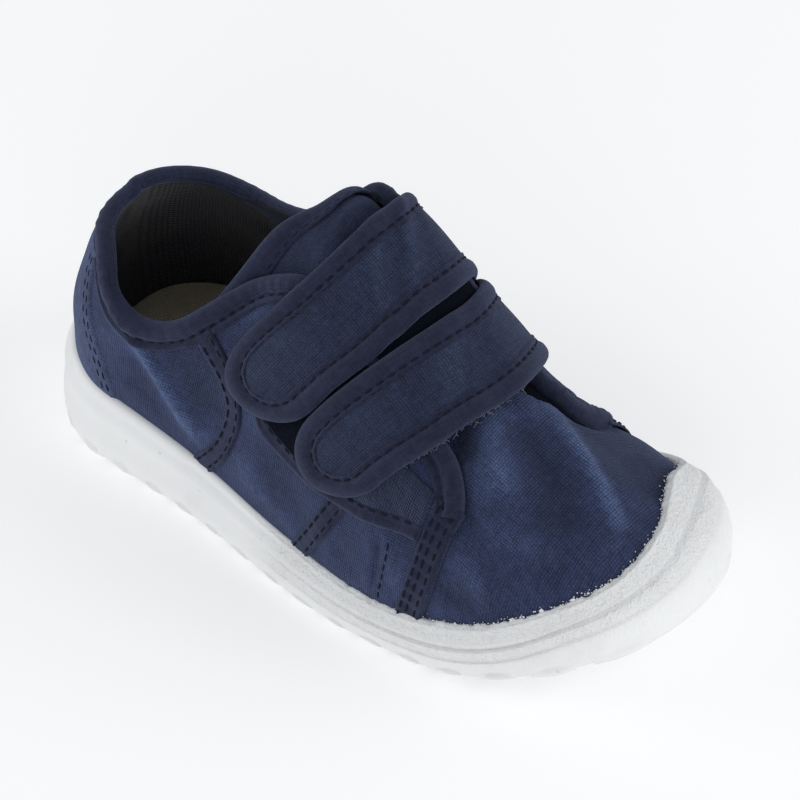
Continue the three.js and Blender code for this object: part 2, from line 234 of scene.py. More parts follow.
def slopes(turn, around):
    """How a point on the last moves with its turn and its around."""
    step = 1e-3
    t = np.clip(turn, step, 1 - step)
    a = np.clip(around, 2 * step, 1 - 2 * step)
    by_turn = (last(from_turn(t + step), a) - last(from_turn(t - step), a)) / (2 * step)
    by_around = (last(from_turn(t), a + step) - last(from_turn(t), a - step)) / (2 * step)
    return by_turn, by_around


def unit(vectors):
    return vectors / np.maximum(np.linalg.norm(vectors, axis=-1, keepdims=True), 1e-12)


def distances(points):
    """How far along a line of points each of them is."""
    return np.concatenate([[0], np.linalg.norm(np.diff(points, axis=0), axis=1).cumsum()])


def outward(along, around):
    return unit(np.cross(*slopes(to_turn(along), around)))


def walk(along, around, direction, distance, steps=4):
    """Where points get to when they go a distance over the last in a 3-D direction."""
    turn, a = to_turn(along), np.array(around, float)
    for _ in range(steps):
        by_turn, by_around = slopes(turn, a)
        e, f, g = (
            (p * q).sum(-1)
            for p, q in ((by_turn, by_turn), (by_turn, by_around), (by_around, by_around))
        )
        p, q = (by_turn * direction).sum(-1), (by_around * direction).sum(-1)
        go_turn, go_around = g * p - f * q, e * q - f * p
        size = np.sqrt(e * go_turn**2 + 2 * f * go_turn * go_around + g * go_around**2)
        share = distance / steps / np.maximum(size, 1e-9)
        turn = np.clip(turn + share * go_turn, 1e-4, 1 - 1e-4)
        a = np.clip(a + share * go_around, 1e-3, 1 - 1e-3)
    return from_turn(turn), a


# ---------------------------------------------------------------- the cloth and its creases

GIRTH_STATIONS = 161
GIRTH_STEPS = 241


def girth_table():
    """The distance over the last at even places: a row of them for each station."""
    stations = np.linspace(0, 1, GIRTH_STATIONS)
    return np.array([distances(last(at, np.linspace(0, 1, GIRTH_STEPS))) for at in stations])


GIRTH = girth_table()


def girth(along, around):
    """The distance over the last from the outer feather edge, in millimetres."""
    s = np.clip(along, 0, 1) * (GIRTH_STATIONS - 1)
    a = np.clip(around, 0, 1) * (GIRTH_STEPS - 1)
    i = np.minimum(s.astype(int), GIRTH_STATIONS - 2)
    j = np.minimum(a.astype(int), GIRTH_STEPS - 2)
    u, v = s - i, a - j
    near = GIRTH[i, j] * (1 - v) + GIRTH[i, j + 1] * v
    far = GIRTH[i + 1, j] * (1 - v) + GIRTH[i + 1, j + 1] * v
    return near * (1 - u) + far * u


def side_girth(along, around, flank):
    """The distance up the last from its feather edge on one side: -1 outer, 1 inner."""
    up = girth(along, around)
    return up if flank < 0 else girth(along, np.ones(np.shape(along))) - up


def pattern(along, around):
    """Flat places in millimetres: along the shoe, and from the ridge over its side."""
    along, around = np.broadcast_arrays(np.asarray(along, float), np.asarray(around, float))
    across = girth(along, around) - girth(along, np.full(along.shape, 0.5))
    return np.stack([along * SOLE_LENGTH, across], -1)


# Soft ridges (height above 0) and troughs (below 0). Each bends from its start over its middle to
# its end, and fades at both ends.
CREASES = rows(
    "along1 around1 along2 around2 along3 around3 width height",
    # over the vamp, fanning out from the throat
    (0.745, 0.565, 0.830, 0.512, 0.930, 0.432, 2.1, 1.6),
    (0.750, 0.480, 0.810, 0.437, 0.895, 0.360, 4.2, -1.3),
    (0.705, 0.455, 0.745, 0.405, 0.800, 0.340, 4.2, 1.1),
    (0.680, 0.400, 0.712, 0.372, 0.738, 0.345, 2.6, -1.6),
    (0.825, 0.330, 0.875, 0.370, 0.925, 0.415, 3.6, -0.8),
    (0.820, 0.180, 0.880, 0.205, 0.925, 0.250, 4.0, -0.6),
    (0.790, 0.260, 0.840, 0.270, 0.895, 0.300, 3.5, 0.7),
    (0.800, 0.600, 0.860, 0.595, 0.925, 0.560, 4.5, -0.9),
    (0.850, 0.700, 0.895, 0.670, 0.930, 0.620, 4.0, 0.7),
    (0.780, 0.200, 0.815, 0.150, 0.850, 0.110, 3.0, 0.5),
    (0.775, 0.130, 0.800, 0.100, 0.840, 0.090, 2.6, -0.5),
    (0.740, 0.665, 0.845, 0.675, 0.950, 0.640, 9.0, -2.3),
    # over the outer quarter
    (0.135, 0.115, 0.240, 0.083, 0.340, 0.040, 1.9, 1.4),
    (0.190, 0.150, 0.270, 0.132, 0.350, 0.105, 5.0, -0.9),
    (0.160, 0.050, 0.230, 0.042, 0.300, 0.025, 3.2, -0.5),
    (0.100, 0.160, 0.150, 0.150, 0.210, 0.165, 3.2, 0.4),
    (0.430, 0.100, 0.500, 0.090, 0.560, 0.065, 5.5, -0.6),
    (0.400, 0.045, 0.460, 0.050, 0.530, 0.035, 3.0, 0.5),
    (0.590, 0.080, 0.625, 0.060, 0.655, 0.050, 3.5, -0.5),
    (0.690, 0.120, 0.710, 0.080, 0.720, 0.040, 3.0, 0.4),
    (0.668, 0.145, 0.672, 0.090, 0.666, 0.020, 0.8, -0.7),
    # over the inner quarter
    (0.120, 0.890, 0.230, 0.905, 0.330, 0.945, 3.0, 0.9),
    (0.180, 0.850, 0.270, 0.860, 0.350, 0.890, 5.0, -0.8),
    (0.400, 0.860, 0.480, 0.880, 0.560, 0.920, 5.0, -0.6),
    (0.580, 0.800, 0.660, 0.830, 0.730, 0.890, 4.5, 0.7),
    (0.700, 0.740, 0.750, 0.790, 0.790, 0.860, 4.0, -0.6),
    (0.450, 0.780, 0.520, 0.770, 0.600, 0.750, 5.0, 0.5),
)
CREASE_STEPS = 6
CREASE_SHARPNESS = 1.7
CREASE_FADE = 0.6       # how soon a crease reaches its full height from either end
RIM_CALM = 7.0          # creases are flat at the rim and full this far above it
# Faint waves all over the canvas: height, how tightly they run, their sway and how tightly it runs.
WAVES = ((0.16, 0.31, 1.3, 0.13), (0.14, 0.37, 1.7, 0.11))


def crease_lines():
    """Each crease as a bent line of flat places."""
    t = np.linspace(0, 1, CREASE_STEPS + 1)[:, None]
    start, middle, end = (
        pattern(CREASES[f"along{i}"], CREASES[f"around{i}"]) for i in (1, 2, 3)
    )
    bend = 2 * middle - (start + end) / 2
    return [(1 - t) ** 2 * a + 2 * t * (1 - t) * b + t * t * c for a, b, c in zip(start, bend, end)]


CREASE_LINES = crease_lines()


def relief(along, around):
    """How far the canvas's creases stand above the last, in millimetres."""
    along, around = np.broadcast_arrays(np.asarray(along, float), np.asarray(around, float))
    place = pattern(along, around).reshape(-1, 2)
    height = np.zeros(len(place))
    for (rise, rate, sway, turn), ahead, beside in zip(WAVES, place.T, place.T[::-1]):
        height += rise * np.sin(ahead * rate + sway * np.sin(beside * turn))
    for line, width, rise in zip(CREASE_LINES, CREASES["width"], CREASES["height"]):
        reach = 3 * width
        low, high = line.min(0) - reach, line.max(0) + reach
        near = ((place > low) & (place < high)).all(1)
        best = np.full(near.sum(), 1e9)
        share = np.zeros(near.sum())
        for i, (a, b) in enumerate(zip(line[:-1], line[1:])):
            t = np.clip((place[near] - a) @ (b - a) / ((b - a) @ (b - a)), 0, 1)
            apart = np.linalg.norm(place[near] - a - t[:, None] * (b - a), axis=1)
            share = np.where(apart < best, (i + t) / CREASE_STEPS, share)
            best = np.minimum(apart, best)
        fade = np.sin(np.pi * share) ** CREASE_FADE
        height[near] += rise * fade * np.exp(-((best / width) ** CREASE_SHARPNESS))
    z = last(along, around)[..., 2]
    return height.reshape(along.shape) * smooth((z - rim_top(along) + 1.0) / RIM_CALM)


def skin(along, around, height=0.0):
    """Points "height" above the creased canvas."""
    lift = relief(along, around) + height
    return last(along, around) + outward(along, around) * lift[..., None]


def even(points, count):
    """Where "count" even steps along a 3-D line fall, as places in its list of points."""
    length = distances(points)
    return np.interp(np.linspace(0, length[-1], count), length, np.arange(len(points)))


LINE_STEP = 0.8


class Line:
    """A line drawn on the canvas in even steps, from dense places on it."""

    def __init__(self, along, around, step=LINE_STEP):
        points = last(along, around)
        where = even(points, max(int(distances(points)[-1] / step), 2) + 1)
        index = np.arange(len(along))
        self.along = np.interp(where, index, along)
        self.around = np.interp(where, index, around)
        points = last(self.along, self.around)
        self.length = distances(points)
        self.normal = outward(self.along, self.around)
        ahead = unit(np.gradient(points, axis=0))
        self.side = unit(np.cross(self.normal, ahead))

    def shifted(self, across):
        """Places "across" to the left of the line, seen from outside."""
        across = np.broadcast_to(across, self.length.shape)
        side = self.side * np.where(across < 0, -1.0, 1.0)[:, None]
        return walk(self.along, self.around, side, np.abs(across))

    def points(self, across, height):
        along, around = (self.along, self.around) if np.all(across == 0) else self.shifted(across)
        return skin(along, around, height)

    def joined(self, other):
        """This line, then another that starts where it ends."""
        both = object.__new__(Line)
        both.along = np.concatenate([self.along, other.along[1:]])
        both.around = np.concatenate([self.around, other.around[1:]])
        both.length = np.concatenate([self.length, other.length[1:] + self.length[-1]])
        both.normal = np.concatenate([self.normal, other.normal[1:]])
        both.side = np.concatenate([self.side, other.side[1:]])
        return both

    def reversed(self):
        return Line(self.along[::-1], self.around[::-1])


def dense(*places, steps=30):
    """Dense places on a smooth line through a few (along, around) places."""
    places = np.array(places, float)
    flat = pattern(places[:, 0], places[:, 1])
    chord = distances(flat)
    table = {"chord": chord, "along": places[:, 0], "around": places[:, 1]}
    where = np.linspace(0, chord[-1], steps * len(places))
    return curve(table, "along")(where), curve(table, "around")(where)


def line_through(*places, step=LINE_STEP):
    return Line(*dense(*places), step=step)


# ---------------------------------------------------------------- meshes


def make_mesh(name, points, faces, cloth, worn=None, materials=(), material_of=None):
    """A mesh piece in metres. "cloth" is each point's flat place. The next array is how rubbed each point's
    cloth is, together with painted highlight on crease ridges and painted shade in crease troughs; on
    rubber it is how fibrous the rubber is.
    """
    mesh = bpy.data.meshes.new(name)
    mesh.from_pydata((np.asarray(points).reshape(-1, 3) * MM).tolist(), [], faces)
    form = bmesh.new()
    form.from_mesh(mesh)
    bmesh.ops.recalc_face_normals(form, faces=form.faces)
    form.to_mesh(mesh)
    form.free()
    flat = np.zeros((len(mesh.vertices), 3), np.float32)
    flat[:, : np.shape(cloth)[-1]] = np.asarray(cloth).reshape(len(flat), -1)
    mesh.attributes.new("cloth", "FLOAT_VECTOR", "POINT").data.foreach_set("vector", flat.ravel())
    wear_shading_fibre = np.zeros(len(flat), np.float32) if worn is None else np.asarray(worn, np.float32).ravel()
    mesh.attributes.new("worn", "FLOAT", "POINT").data.foreach_set("value", wear_shading_fibre)
    for material in materials:
        mesh.materials.append(material)
    if material_of is not None:
        mesh.polygons.foreach_set("material_index", np.asarray(material_of, np.int32))
    mesh.polygons.foreach_set("use_smooth", np.ones(len(mesh.polygons), bool))
    mesh.validate()
    piece = bpy.data.objects.new(name, mesh)
    bpy.context.scene.collection.objects.link(piece)
    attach(piece, "root")
    return piece


def ring_faces(count, size, caps=True):
    """Faces over "count" rings of "size" points. A cap joins the points that face each other."""
    ring = np.arange(count - 1)[:, None] * size
    spot = np.arange(size)[None, :]
    beside = (spot + 1) % size
    corners = (ring + spot, ring + size + spot, ring + size + beside, ring + beside)
    faces = np.stack(corners, -1).reshape(-1, 4).tolist()
    if caps:
        for start, turn in ((0, 1), ((count - 1) * size, -1)):
            for i in range(size // 2 - 1):
                quad = [start + i, start + i + 1, start + size - 2 - i, start + size - 1 - i]
                faces.append(quad[::turn])
    return faces


def even_between(first, second, count):
    """Even steps over the canvas between two lines of places: rows of (along, around)."""
    first, second = (np.array(places)[..., None] for places in (first, second))
    t = np.linspace(0, 1, 3 * count)
    points = last(*(first * (1 - t) + second * t))
    share = np.array([np.interp(even(line, count), np.arange(3 * count), t) for line in points])
    return first * (1 - share) + second * share


def sheet(name, outer, inner, cloth, wear_shading_fibre, materials):
    """A closed sheet of cloth from two nets of points: its outer face and its inner face."""
    rings = np.concatenate([outer, inner[:, ::-1]], 1)
    count, size = rings.shape[:2]
    faces = ring_faces(count, size)
    under = np.zeros(len(faces), int)
    spots = np.tile(np.arange(size), count - 1)
    under[: len(spots)] = (spots >= size // 2) & (spots < size - 1)
    cloth, wear_shading_fibre = (np.concatenate([values, values[:, ::-1]], 1) for values in (cloth, wear_shading_fibre))
    return make_mesh(name, rings, faces, cloth, wear_shading_fibre, materials, under)


WEAR_SHADING_HEIGHT = 1.2       # a crease this high is rubbed to its palest and gets full painted highlight; a trough this deep gets full painted shade


def shell(name, grid, top, bottom, cloth, outside, inside):
    """A closed sheet of cloth between two heights over the last."""
    # crease height sets how rubbed the cloth is and its painted light: painted highlight on ridges, painted
    # shade in troughs
    wear_shading_fibre = np.clip(relief(*grid) / WEAR_SHADING_HEIGHT, -1, 1)
    return sheet(name, skin(*grid, top), skin(*grid, bottom), cloth, wear_shading_fibre, (outside, inside))


def swept(name, rings, length, across, material):
    """One piece from a closed section's points, each swept along a line."""
    rings = np.stack(rings, 1)
    flat = np.stack(np.broadcast_arrays(length[:, None], across[None, :]), -1)
    return make_mesh(name, rings, ring_faces(*rings.shape[:2]), flat, None, (material,))


def tubes(name, rings, spread, material):
    """Many short tubes, each of the same number of rings, as one piece."""
    count, length, size = rings.shape[:3]
    starts = np.arange(count) * length * size
    faces = (np.array(ring_faces(length, size)) + starts[:, None, None]).reshape(-1, 4).tolist()
    flat = np.tile(np.arange(count * length * size)[:, None] * spread, 2)
    return make_mesh(name, rings, faces, flat, None, (material,))


def outline_of(outside, inside, count):
    """A closed section from two open lines with the same ends: (across, height) points."""
    half = []
    for corners in (outside, inside):
        corners = np.array(corners, float)
        size = distances(corners)
        at = np.linspace(0, size[-1], count)
        half.append(np.stack([np.interp(at, size, corners[:, i]) for i in (0, 1)], -1))
    return np.concatenate([half[0], half[1][::-1]])


STITCH_PITCH = 2.9
FINE_THREAD = 0.24
SEAM_REACH = 0.7        # how far beside a seam the cloth is pulled down
ACROSS_TURN = 0.7       # how far the cloth's flat place moves on with a section's height
PLY_SPREAD = 0.37       # how far it moves on from one point of a thread to the next


def ribbon(name, line, section, material, seams=(), dip=0.3, pucker=None):
    """A strip of cloth along a line, with a closed section of (across, height) points.
    "seams" are the places across it where stitches pull it down. "pucker" is where small folds
    cross it, how far they reach and how high they are."""
    wave = np.cos(2 * np.pi * line.length / STITCH_PITCH)
    drift = np.sin(line.length * 0.47) + np.sin(line.length * 0.173 + 1.0)
    rings = []
    for across, height in section:
        lift = np.zeros(len(line.length))
        if height > 0:
            for seam in seams:
                near = math.exp(-(((across - seam) / SEAM_REACH) ** 2))
                lift = lift - dip * near * (0.8 - 0.2 * wave)
            if pucker:
                near = math.exp(-(((across - pucker[0]) / pucker[1]) ** 2))
                lift = lift + pucker[2] * near * (wave * (1 + 0.4 * drift) + 0.5 * drift)
        rings.append(line.points(np.full(len(line.length), across), height + lift))
    return swept(name, rings, line.length, section[:, 0] + section[:, 1] * ACROSS_TURN, material)


class Sewing:
    """Gathers stitches and makes them into one piece. A stitch sinks into the cloth at both ends."""

    def __init__(self):
        self.rings = []

    def run(self, path, normal, pitch=STITCH_PITCH, length=2.0, radius=0.27, margin=0.6):
        """Stitches along a 3-D path."""
        size = distances(path)
        count = int((size[-1] - 2 * margin) / pitch)
        if count < 1:
            return
        spare = (size[-1] - count * pitch) / 2
        centre = spare + pitch * (np.arange(count) + 0.5)
        share = np.linspace(-1, 1, 7)
        at = centre[:, None] + share[None, :] * length / 2
        place = np.stack([np.interp(at, size, path[:, i]) for i in range(3)], -1)
        up = unit(np.stack([np.interp(at, size, normal[:, i]) for i in range(3)], -1))
        ahead = unit(np.gradient(place, axis=1))
        side = unit(np.cross(up, ahead))
        thick = radius * np.maximum(1 - share**6, 0.25) ** 0.5
        place = place - up * ((0.12 + 0.9 * share**4) * radius)[None, :, None]
        angle = np.linspace(0, 2 * np.pi, 6, endpoint=False)
        wheel = (
            side[:, :, None, :] * np.cos(angle)[None, None, :, None]
            + up[:, :, None, :] * 0.8 * np.sin(angle)[None, None, :, None]
        )
        self.rings.append(place[:, :, None, :] + wheel * thick[None, :, None, None])

    def on(self, line, across, height, **how):
        """Stitches beside a line on the canvas."""
        self.run(line.points(np.full(len(line.length), across), height), line.normal, **how)

    def piece(self, name, material):
        return tubes(name, np.concatenate(self.rings), PLY_SPREAD, material)


# ---------------------------------------------------------------- finishes


class Wire:
    """A shader socket that can be used in sums: an expression on values adds its Math nodes."""

    def __init__(self, finish, socket):
        self.finish = finish
        self.socket = socket

    def __add__(self, other):
        return self.finish.maths("ADD", self, other)

    __radd__ = __add__

    def __sub__(self, other):
        return self.finish.maths("SUBTRACT", self, other)

    def __rsub__(self, other):
        return self.finish.maths("SUBTRACT", other, self)

    def __mul__(self, other):
        return self.finish.maths("MULTIPLY", self, other)

    __rmul__ = __mul__

    def __pow__(self, other):
        return self.finish.maths("POWER", self, other)

    def __abs__(self):
        return self.finish.maths("ABSOLUTE", self)


class Finish:
    """One material: a shader tree with one method that adds any node."""

    def __init__(self, name, roughness=0.9, **shader):
        self.material = bpy.data.materials.new(name)
        self.material.use_nodes = True
        self.tree = self.material.node_tree
        self.tree.nodes.clear()
        self.shader = self.tree.nodes.new("ShaderNodeBsdfPrincipled")
        self.shader.inputs["Roughness"].default_value = roughness
        for socket, value in shader.items():
            self.shader.inputs[socket.replace("_", " ")].default_value = value
        out = self.tree.nodes.new("ShaderNodeOutputMaterial")
        self.tree.links.new(self.shader.outputs[0], out.inputs["Surface"])

    def node(self, kind, settings=None, inputs=None, output=0):
        """Adds any node: its settings first, then the values or links of its sockets."""
        made = self.tree.nodes.new(kind)
        for name, value in (settings or {}).items():
            if name == "stops":
                ramp = made.color_ramp.elements
                while len(ramp) < len(value):
                    ramp.new(0.5)
                for stop, (place, colour) in zip(ramp, value):
                    stop.position = place
                    stop.color = colour
            else:
                setattr(made, name, value)
        for name, value in (inputs or {}).items():
            self.feed(made.inputs[name], value)
        return Wire(self, made.outputs[output])

    def feed(self, socket, value):
        if isinstance(value, Wire):
            self.tree.links.new(value.socket, socket)
        else:
            socket.default_value = value

    def maths(self, operation, *values, clamp=False):
        settings = {"operation": operation, "use_clamp": clamp}
        return self.node("ShaderNodeMath", settings, dict(enumerate(values)))

    def mix(self, mask, first, second, kind="MIX"):
        """A mix of two colours."""
        settings = {"data_type": "RGBA", "blend_type": kind}
        return self.node("ShaderNodeMix", settings, {"Factor": mask, 6: first, 7: second}, output=2)

    def shade(self, colour, amount):
        """A colour made lighter or darker by a value."""
        grey = self.node("ShaderNodeCombineXYZ", {}, {0: amount, 1: amount, 2: amount})
        return self.mix(1.0, colour, grey, "MULTIPLY")

    def ramp(self, value, *stops):
        settings = {"stops": [(place, (grey, grey, grey, 1)) for place, grey in stops]}
        return self.node("ShaderNodeValToRGB", settings, {0: value})

    def cloth(self):
        """The flat place on the cloth in millimetres."""
        settings = {"attribute_type": "GEOMETRY", "attribute_name": "cloth"}
        return self.node("ShaderNodeAttribute", settings, output="Vector")

    def worn(self):
        """How rubbed the cloth is, with painted highlight on its crease ridges and painted shade in its
        troughs; on rubber, how fibrous the rubber is.
        """
        settings = {"attribute_type": "GEOMETRY", "attribute_name": "worn"}
        return self.node("ShaderNodeAttribute", settings, output="Fac")

    def parts(self, vector):
        split = self.node("ShaderNodeSeparateXYZ", {}, {0: vector}).socket.node
        return [Wire(self, split.outputs[i]) for i in range(3)]

    def place(self):
        """The place in space, in metres."""
        return self.node("ShaderNodeTexCoord", output="Object")

    def noise(self, vector, scale, detail=3.0, roughness=0.55, stretch=(1, 1, 1)):
        pulled = self.node("ShaderNodeVectorMath", {"operation": "MULTIPLY"}, {0: vector, 1: stretch})
        inputs = {"Vector": pulled, "Scale": scale, "Detail": detail, "Roughness": roughness}
        return self.node("ShaderNodeTexNoise", {}, inputs)

    def bump(self, height, distance):
        inputs = {"Height": height, "Distance": distance, "Strength": 1.0}
        self.feed(self.shader.inputs["Normal"], self.node("ShaderNodeBump", {}, inputs))

    def colour(self, wire):
        self.feed(self.shader.inputs["Base Color"], wire)


def rgb(red, green, blue):
    """A colour given as screen values from 0 to 255."""
    return tuple(((c / 255 + 0.055) / 1.055) ** 2.4 if c > 10 else c / 255 / 12.92
                 for c in (red, green, blue)) + (1.0,)


NAVY = (51, 60, 92)
TWILL = (39, 43, 65)
# the lit canvas colour that crease ridges turn towards: rubbed cloth together with painted highlight
RUBBED_AND_LIT = (84, 102, 138)
WEAVE_PITCH = 0.58
TWILL_PITCH = 0.36
THREAD_ROUNDNESS = 0.7


def woven(name, shade, pitch, depth, fade, fuzz=0.35):
    """A plain weave: rounded threads that pass over and under each other, unevenly dyed. Its creases are
    rubbed and carry painted light: lighter on ridges, darker in troughs.
    """
    finish = Finish(
        name,
        0.92,
        Specular_IOR_Level=0.18,
        Sheen_Weight=fuzz,
        Sheen_Roughness=0.45,
        Sheen_Tint=rgb(150, 165, 205),
    )
    flat = finish.cloth()
    drift = finish.noise(flat, 0.22, 2.0)
    u, v, _ = finish.parts(flat)
    warp = finish.maths("SINE", (u + drift * 1.1) * (math.pi / pitch))
    weft = finish.maths("SINE", (v + drift * 1.3) * (math.pi / pitch))
    over = finish.maths("SIGN", warp * weft)
    domes = (abs(warp) ** THREAD_ROUNDNESS) * (abs(weft) ** THREAD_ROUNDNESS)
    slub_u = finish.noise(flat, 1.0, 2.0, stretch=(1.5, 0.30, 1))
    slub_v = finish.noise(flat, 1.0, 2.0, stretch=(0.30, 1.5, 1))
    blotch = finish.noise(flat, 0.075, 4.0, 0.6)
    fine = finish.noise(flat, 0.55, 3.0, 0.6)
    tone = 0.50 + 0.56 * domes + 0.06 * over + 0.8 * (slub_u - 0.5) + 0.8 * (slub_v - 0.5)
    tone = tone * (0.55 + 0.92 * blotch) * (0.65 + 0.7 * fine)
    # "fade" sets how strongly creases are lightened on ridges and darkened in troughs: rubbing with painted
    # highlight and painted shade
    wear_shading_fibre = finish.maths("MULTIPLY_ADD", finish.worn(), fade, 1.0)
    rubbed_lit_share = finish.maths("MULTIPLY", finish.worn(), 0.5, clamp=True)
    base = finish.mix(rubbed_lit_share, rgb(*shade), rgb(*RUBBED_AND_LIT))
    finish.colour(finish.shade(base, tone * wear_shading_fibre))
    finish.bump(domes + 0.5 * slub_u + 0.5 * slub_v, depth)
    return finish.material


def rubber():
    """White moulded rubber: smooth, or furred with short fibres where it is rough."""
    finish = Finish("moulded_rubber", 0.62, Specular_IOR_Level=0.35)
    place = finish.place()
    grain = finish.noise(place, 1500.0, 3.0, 0.65)
    fibre = finish.noise(place, 420.0, 4.0, 0.7, stretch=(1.0, 1.0, 0.35))
    soft = finish.noise(place, 60.0, 3.0)
    rough = finish.worn()
    speck = finish.ramp(finish.noise(place, 700.0, 2.0), (0.70, 0.0), (0.76, 1.0))
    dirt = finish.ramp(finish.noise(place, 90.0, 5.0, 0.7), (0.52, 0.0), (0.78, 1.0))
    clean = finish.mix(soft, rgb(231, 232, 232), rgb(225, 226, 227))
    marked = finish.mix(finish.maths("MULTIPLY", dirt, 0.22), clean, rgb(196, 194, 190))
    finish.colour(finish.mix(finish.maths("MULTIPLY", speck, 0.25), marked, rgb(150, 150, 150)))
    finish.feed(finish.shader.inputs["Roughness"], 0.5 + 0.2 * soft + 0.1 * rough)
    finish.bump(rough * (0.9 * fibre + 0.5 * grain) + 0.05 * grain, 0.0010)
    return finish.material


def knit_lining():
    finish = Finish(
        "lining_cloth", 0.95, Specular_IOR_Level=0.1, Sheen_Weight=0.15, Sheen_Roughness=0.6
    )
    flat = finish.cloth()
    u, v, _ = finish.parts(flat)
    rib = abs(finish.maths("SINE", u * 4.1)) * abs(finish.maths("SINE", v * 4.6 + u * 2.0))
    fuzz = finish.noise(flat, 2.0, 3.0)
    finish.colour(finish.shade(rgb(30, 31, 37), 0.55 + 0.5 * rib + 0.3 * fuzz))
    finish.bump(rib + fuzz, 0.00018)
    return finish.material


def insole_cloth():
    finish = Finish("insole_cloth", 0.9, Sheen_Weight=0.2, Sheen_Roughness=0.5)
    flat = finish.cloth()
    u, v, _ = finish.parts(flat)
    grid = abs(finish.maths("SINE", u * 5.2)) * abs(finish.maths("SINE", v * 5.2))
    stain = finish.noise(flat, 0.06, 4.0, 0.6)
    fuzz = finish.noise(flat, 1.6, 3.0)
    base = finish.mix(stain, rgb(160, 149, 128), rgb(118, 109, 94))
    finish.colour(finish.shade(base, 0.72 + 0.25 * grid + 0.3 * fuzz))
    finish.bump(grid + 0.7 * fuzz, 0.00016)
    return finish.material


def looped_pile_and_gap_shade():
    """The fuzzy loop side of the fastener. Its near-black colour also stands for the shade in the gaps
    where it is laid: painted shade.
    """
    finish = Finish("loop_pile_and_gap_shade", 1.0, Specular_IOR_Level=0.05)
    flat = finish.cloth()
    fuzz = finish.noise(flat, 1.5, 5.0, 0.75)
    curls = finish.node("ShaderNodeTexVoronoi", {"feature": "F1"}, {"Vector": flat, "Scale": 1.3})
    finish.colour(finish.shade(rgb(18, 21, 32), 0.5 + 0.8 * fuzz))
    finish.bump(fuzz - 0.6 * curls, 0.0004)
    return finish.material


def sewing_thread(name, shade):
    finish = Finish(name, 0.75, Specular_IOR_Level=0.15)
    u, _, _ = finish.parts(finish.cloth())
    ply = finish.maths("SINE", u * 9.0)
    finish.colour(finish.shade(rgb(*shade), 0.9 + 0.15 * ply))
    finish.bump(ply, 0.00006)
    return finish.material


canvas = woven("navy_canvas", NAVY, WEAVE_PITCH, 0.00019, 0.42)
strap_canvas = woven("strap_canvas", (43, 51, 75), WEAVE_PITCH, 0.00016, 0.25)
# a darker copy of the canvas: painted shade for the patch's front, which lies in the straps' shadow
patch_canvas_shaded = woven("patch_canvas_shaded", (40, 48, 70), 0.55, 0.0003, 0.3, 0.5)
smooth_canvas = woven("smooth_canvas", (72, 82, 114), 0.42, 0.00012, 0.4)
twill = woven("binding_twill", TWILL, TWILL_PITCH, 0.00008, 0.2, 0.45)
lining = knit_lining()
lining_twill = woven("lining_twill", (27, 27, 31), TWILL_PITCH, 0.00008, 0.2, 0.3)
rubber_white = rubber()
insole_tan = insole_cloth()
# near-black loop cloth, also used as painted shade in the gaps under the straps and the inner flap
pile_and_gap_shade = looped_pile_and_gap_shade()
thread = sewing_thread("navy_thread", (34, 38, 57))
pale_thread = sewing_thread("pale_thread", (120, 126, 142))

# ---------------------------------------------------------------- the upper

# The free edges of the two quarters, forward from the collar: (along, around).
OUTER_FLAP = (
    (0.418, 0.321), (0.445, 0.325), (0.500, 0.333), (0.570, 0.338), (0.640, 0.338), (0.695, 0.337),
    (0.724, 0.326), (0.746, 0.300), (0.759, 0.274), (0.764, 0.250),
)
INNER_FLAP = (
    (0.445, 0.602), (0.500, 0.606), (0.570, 0.611), (0.640, 0.614), (0.690, 0.613),
    (0.730, 0.612), (0.756, 0.618), (0.773, 0.638), (0.781, 0.675), (0.783, 0.745),
)
COLLAR_FRONT = 0.392
FOOT_SHARE = 0.963      # how far back the quarters' front seams slant at the sole
FEATHER = 0.001         # the cloth starts this far in from the feather edge, around the foot
CORNER_ROUNDING = 9     # steps of the free edge that its corner is rounded over
QUARTER_STATIONS, QUARTER_STEPS = 190, 64
QUARTER_THICK, VAMP_THICK = 1.7, 1.3    # canvas and lining together


def collar_edge(flank):
    """Dense places on one side of the collar, from the back of the heel to its front corner.
    Each is found by halving the gap between a place below the collar and one above it."""
    along = from_turn(np.linspace(0, to_turn(COLLAR_FRONT), 160))
    height = curve(COLLAR, flank)
    low, high = np.full(len(along), 0.02), np.full(len(along), 0.5)
    for _ in range(40):
        middle = (low + high) / 2
        point = last(along, middle if flank == "outer" else 1 - middle)
        short = point[:, 2] < height(point[:, 0])
        low, high = np.where(short, middle, low), np.where(short, high, middle)
    return along, low if flank == "outer" else 1 - low


def quarter_edge(flank, flap):
    """A quarter's whole free edge, heel to front seam, with its corner rounded off."""
    along, around = collar_edge(flank)
    more = dense((along[-1], around[-1]), *flap)
    line = Line(np.concatenate([along, more[0][1:]]), np.concatenate([around, more[1][1:]]), 1.0)
    kernel = np.hanning(CORNER_ROUNDING + 2)[1:-1]
    kernel = kernel / kernel.sum()
    pad = CORNER_ROUNDING // 2
    turn, around = to_turn(line.along), line.around
    soft = []
    # past the back of the heel the line goes on as its own mirror image
    for values, behind in (
        (turn, 2 * turn[0] - turn[1 : pad + 1][::-1]),
        (around, around[1 : pad + 1][::-1]),
    ):
        ahead = 2 * values[-1] - values[-pad - 1 : -1][::-1]
        soft.append(np.convolve(np.concatenate([behind, values, ahead]), kernel, "valid"))
    return Line(from_turn(np.clip(soft[0], 0, 1)), soft[1])


outer_edge = quarter_edge("outer", OUTER_FLAP)
inner_edge = quarter_edge("inner", INNER_FLAP)


def round_heel(halves):
    """Joins the outer and inner halves, each a grid and its flat places, at the back of the heel."""
    (outer, outer_flat), (inner, inner_flat) = halves
    grid = np.concatenate([outer[:, ::-1], inner[:, 1:]], 1)
    return grid, np.concatenate([outer_flat[::-1], inner_flat[1:]], 0)


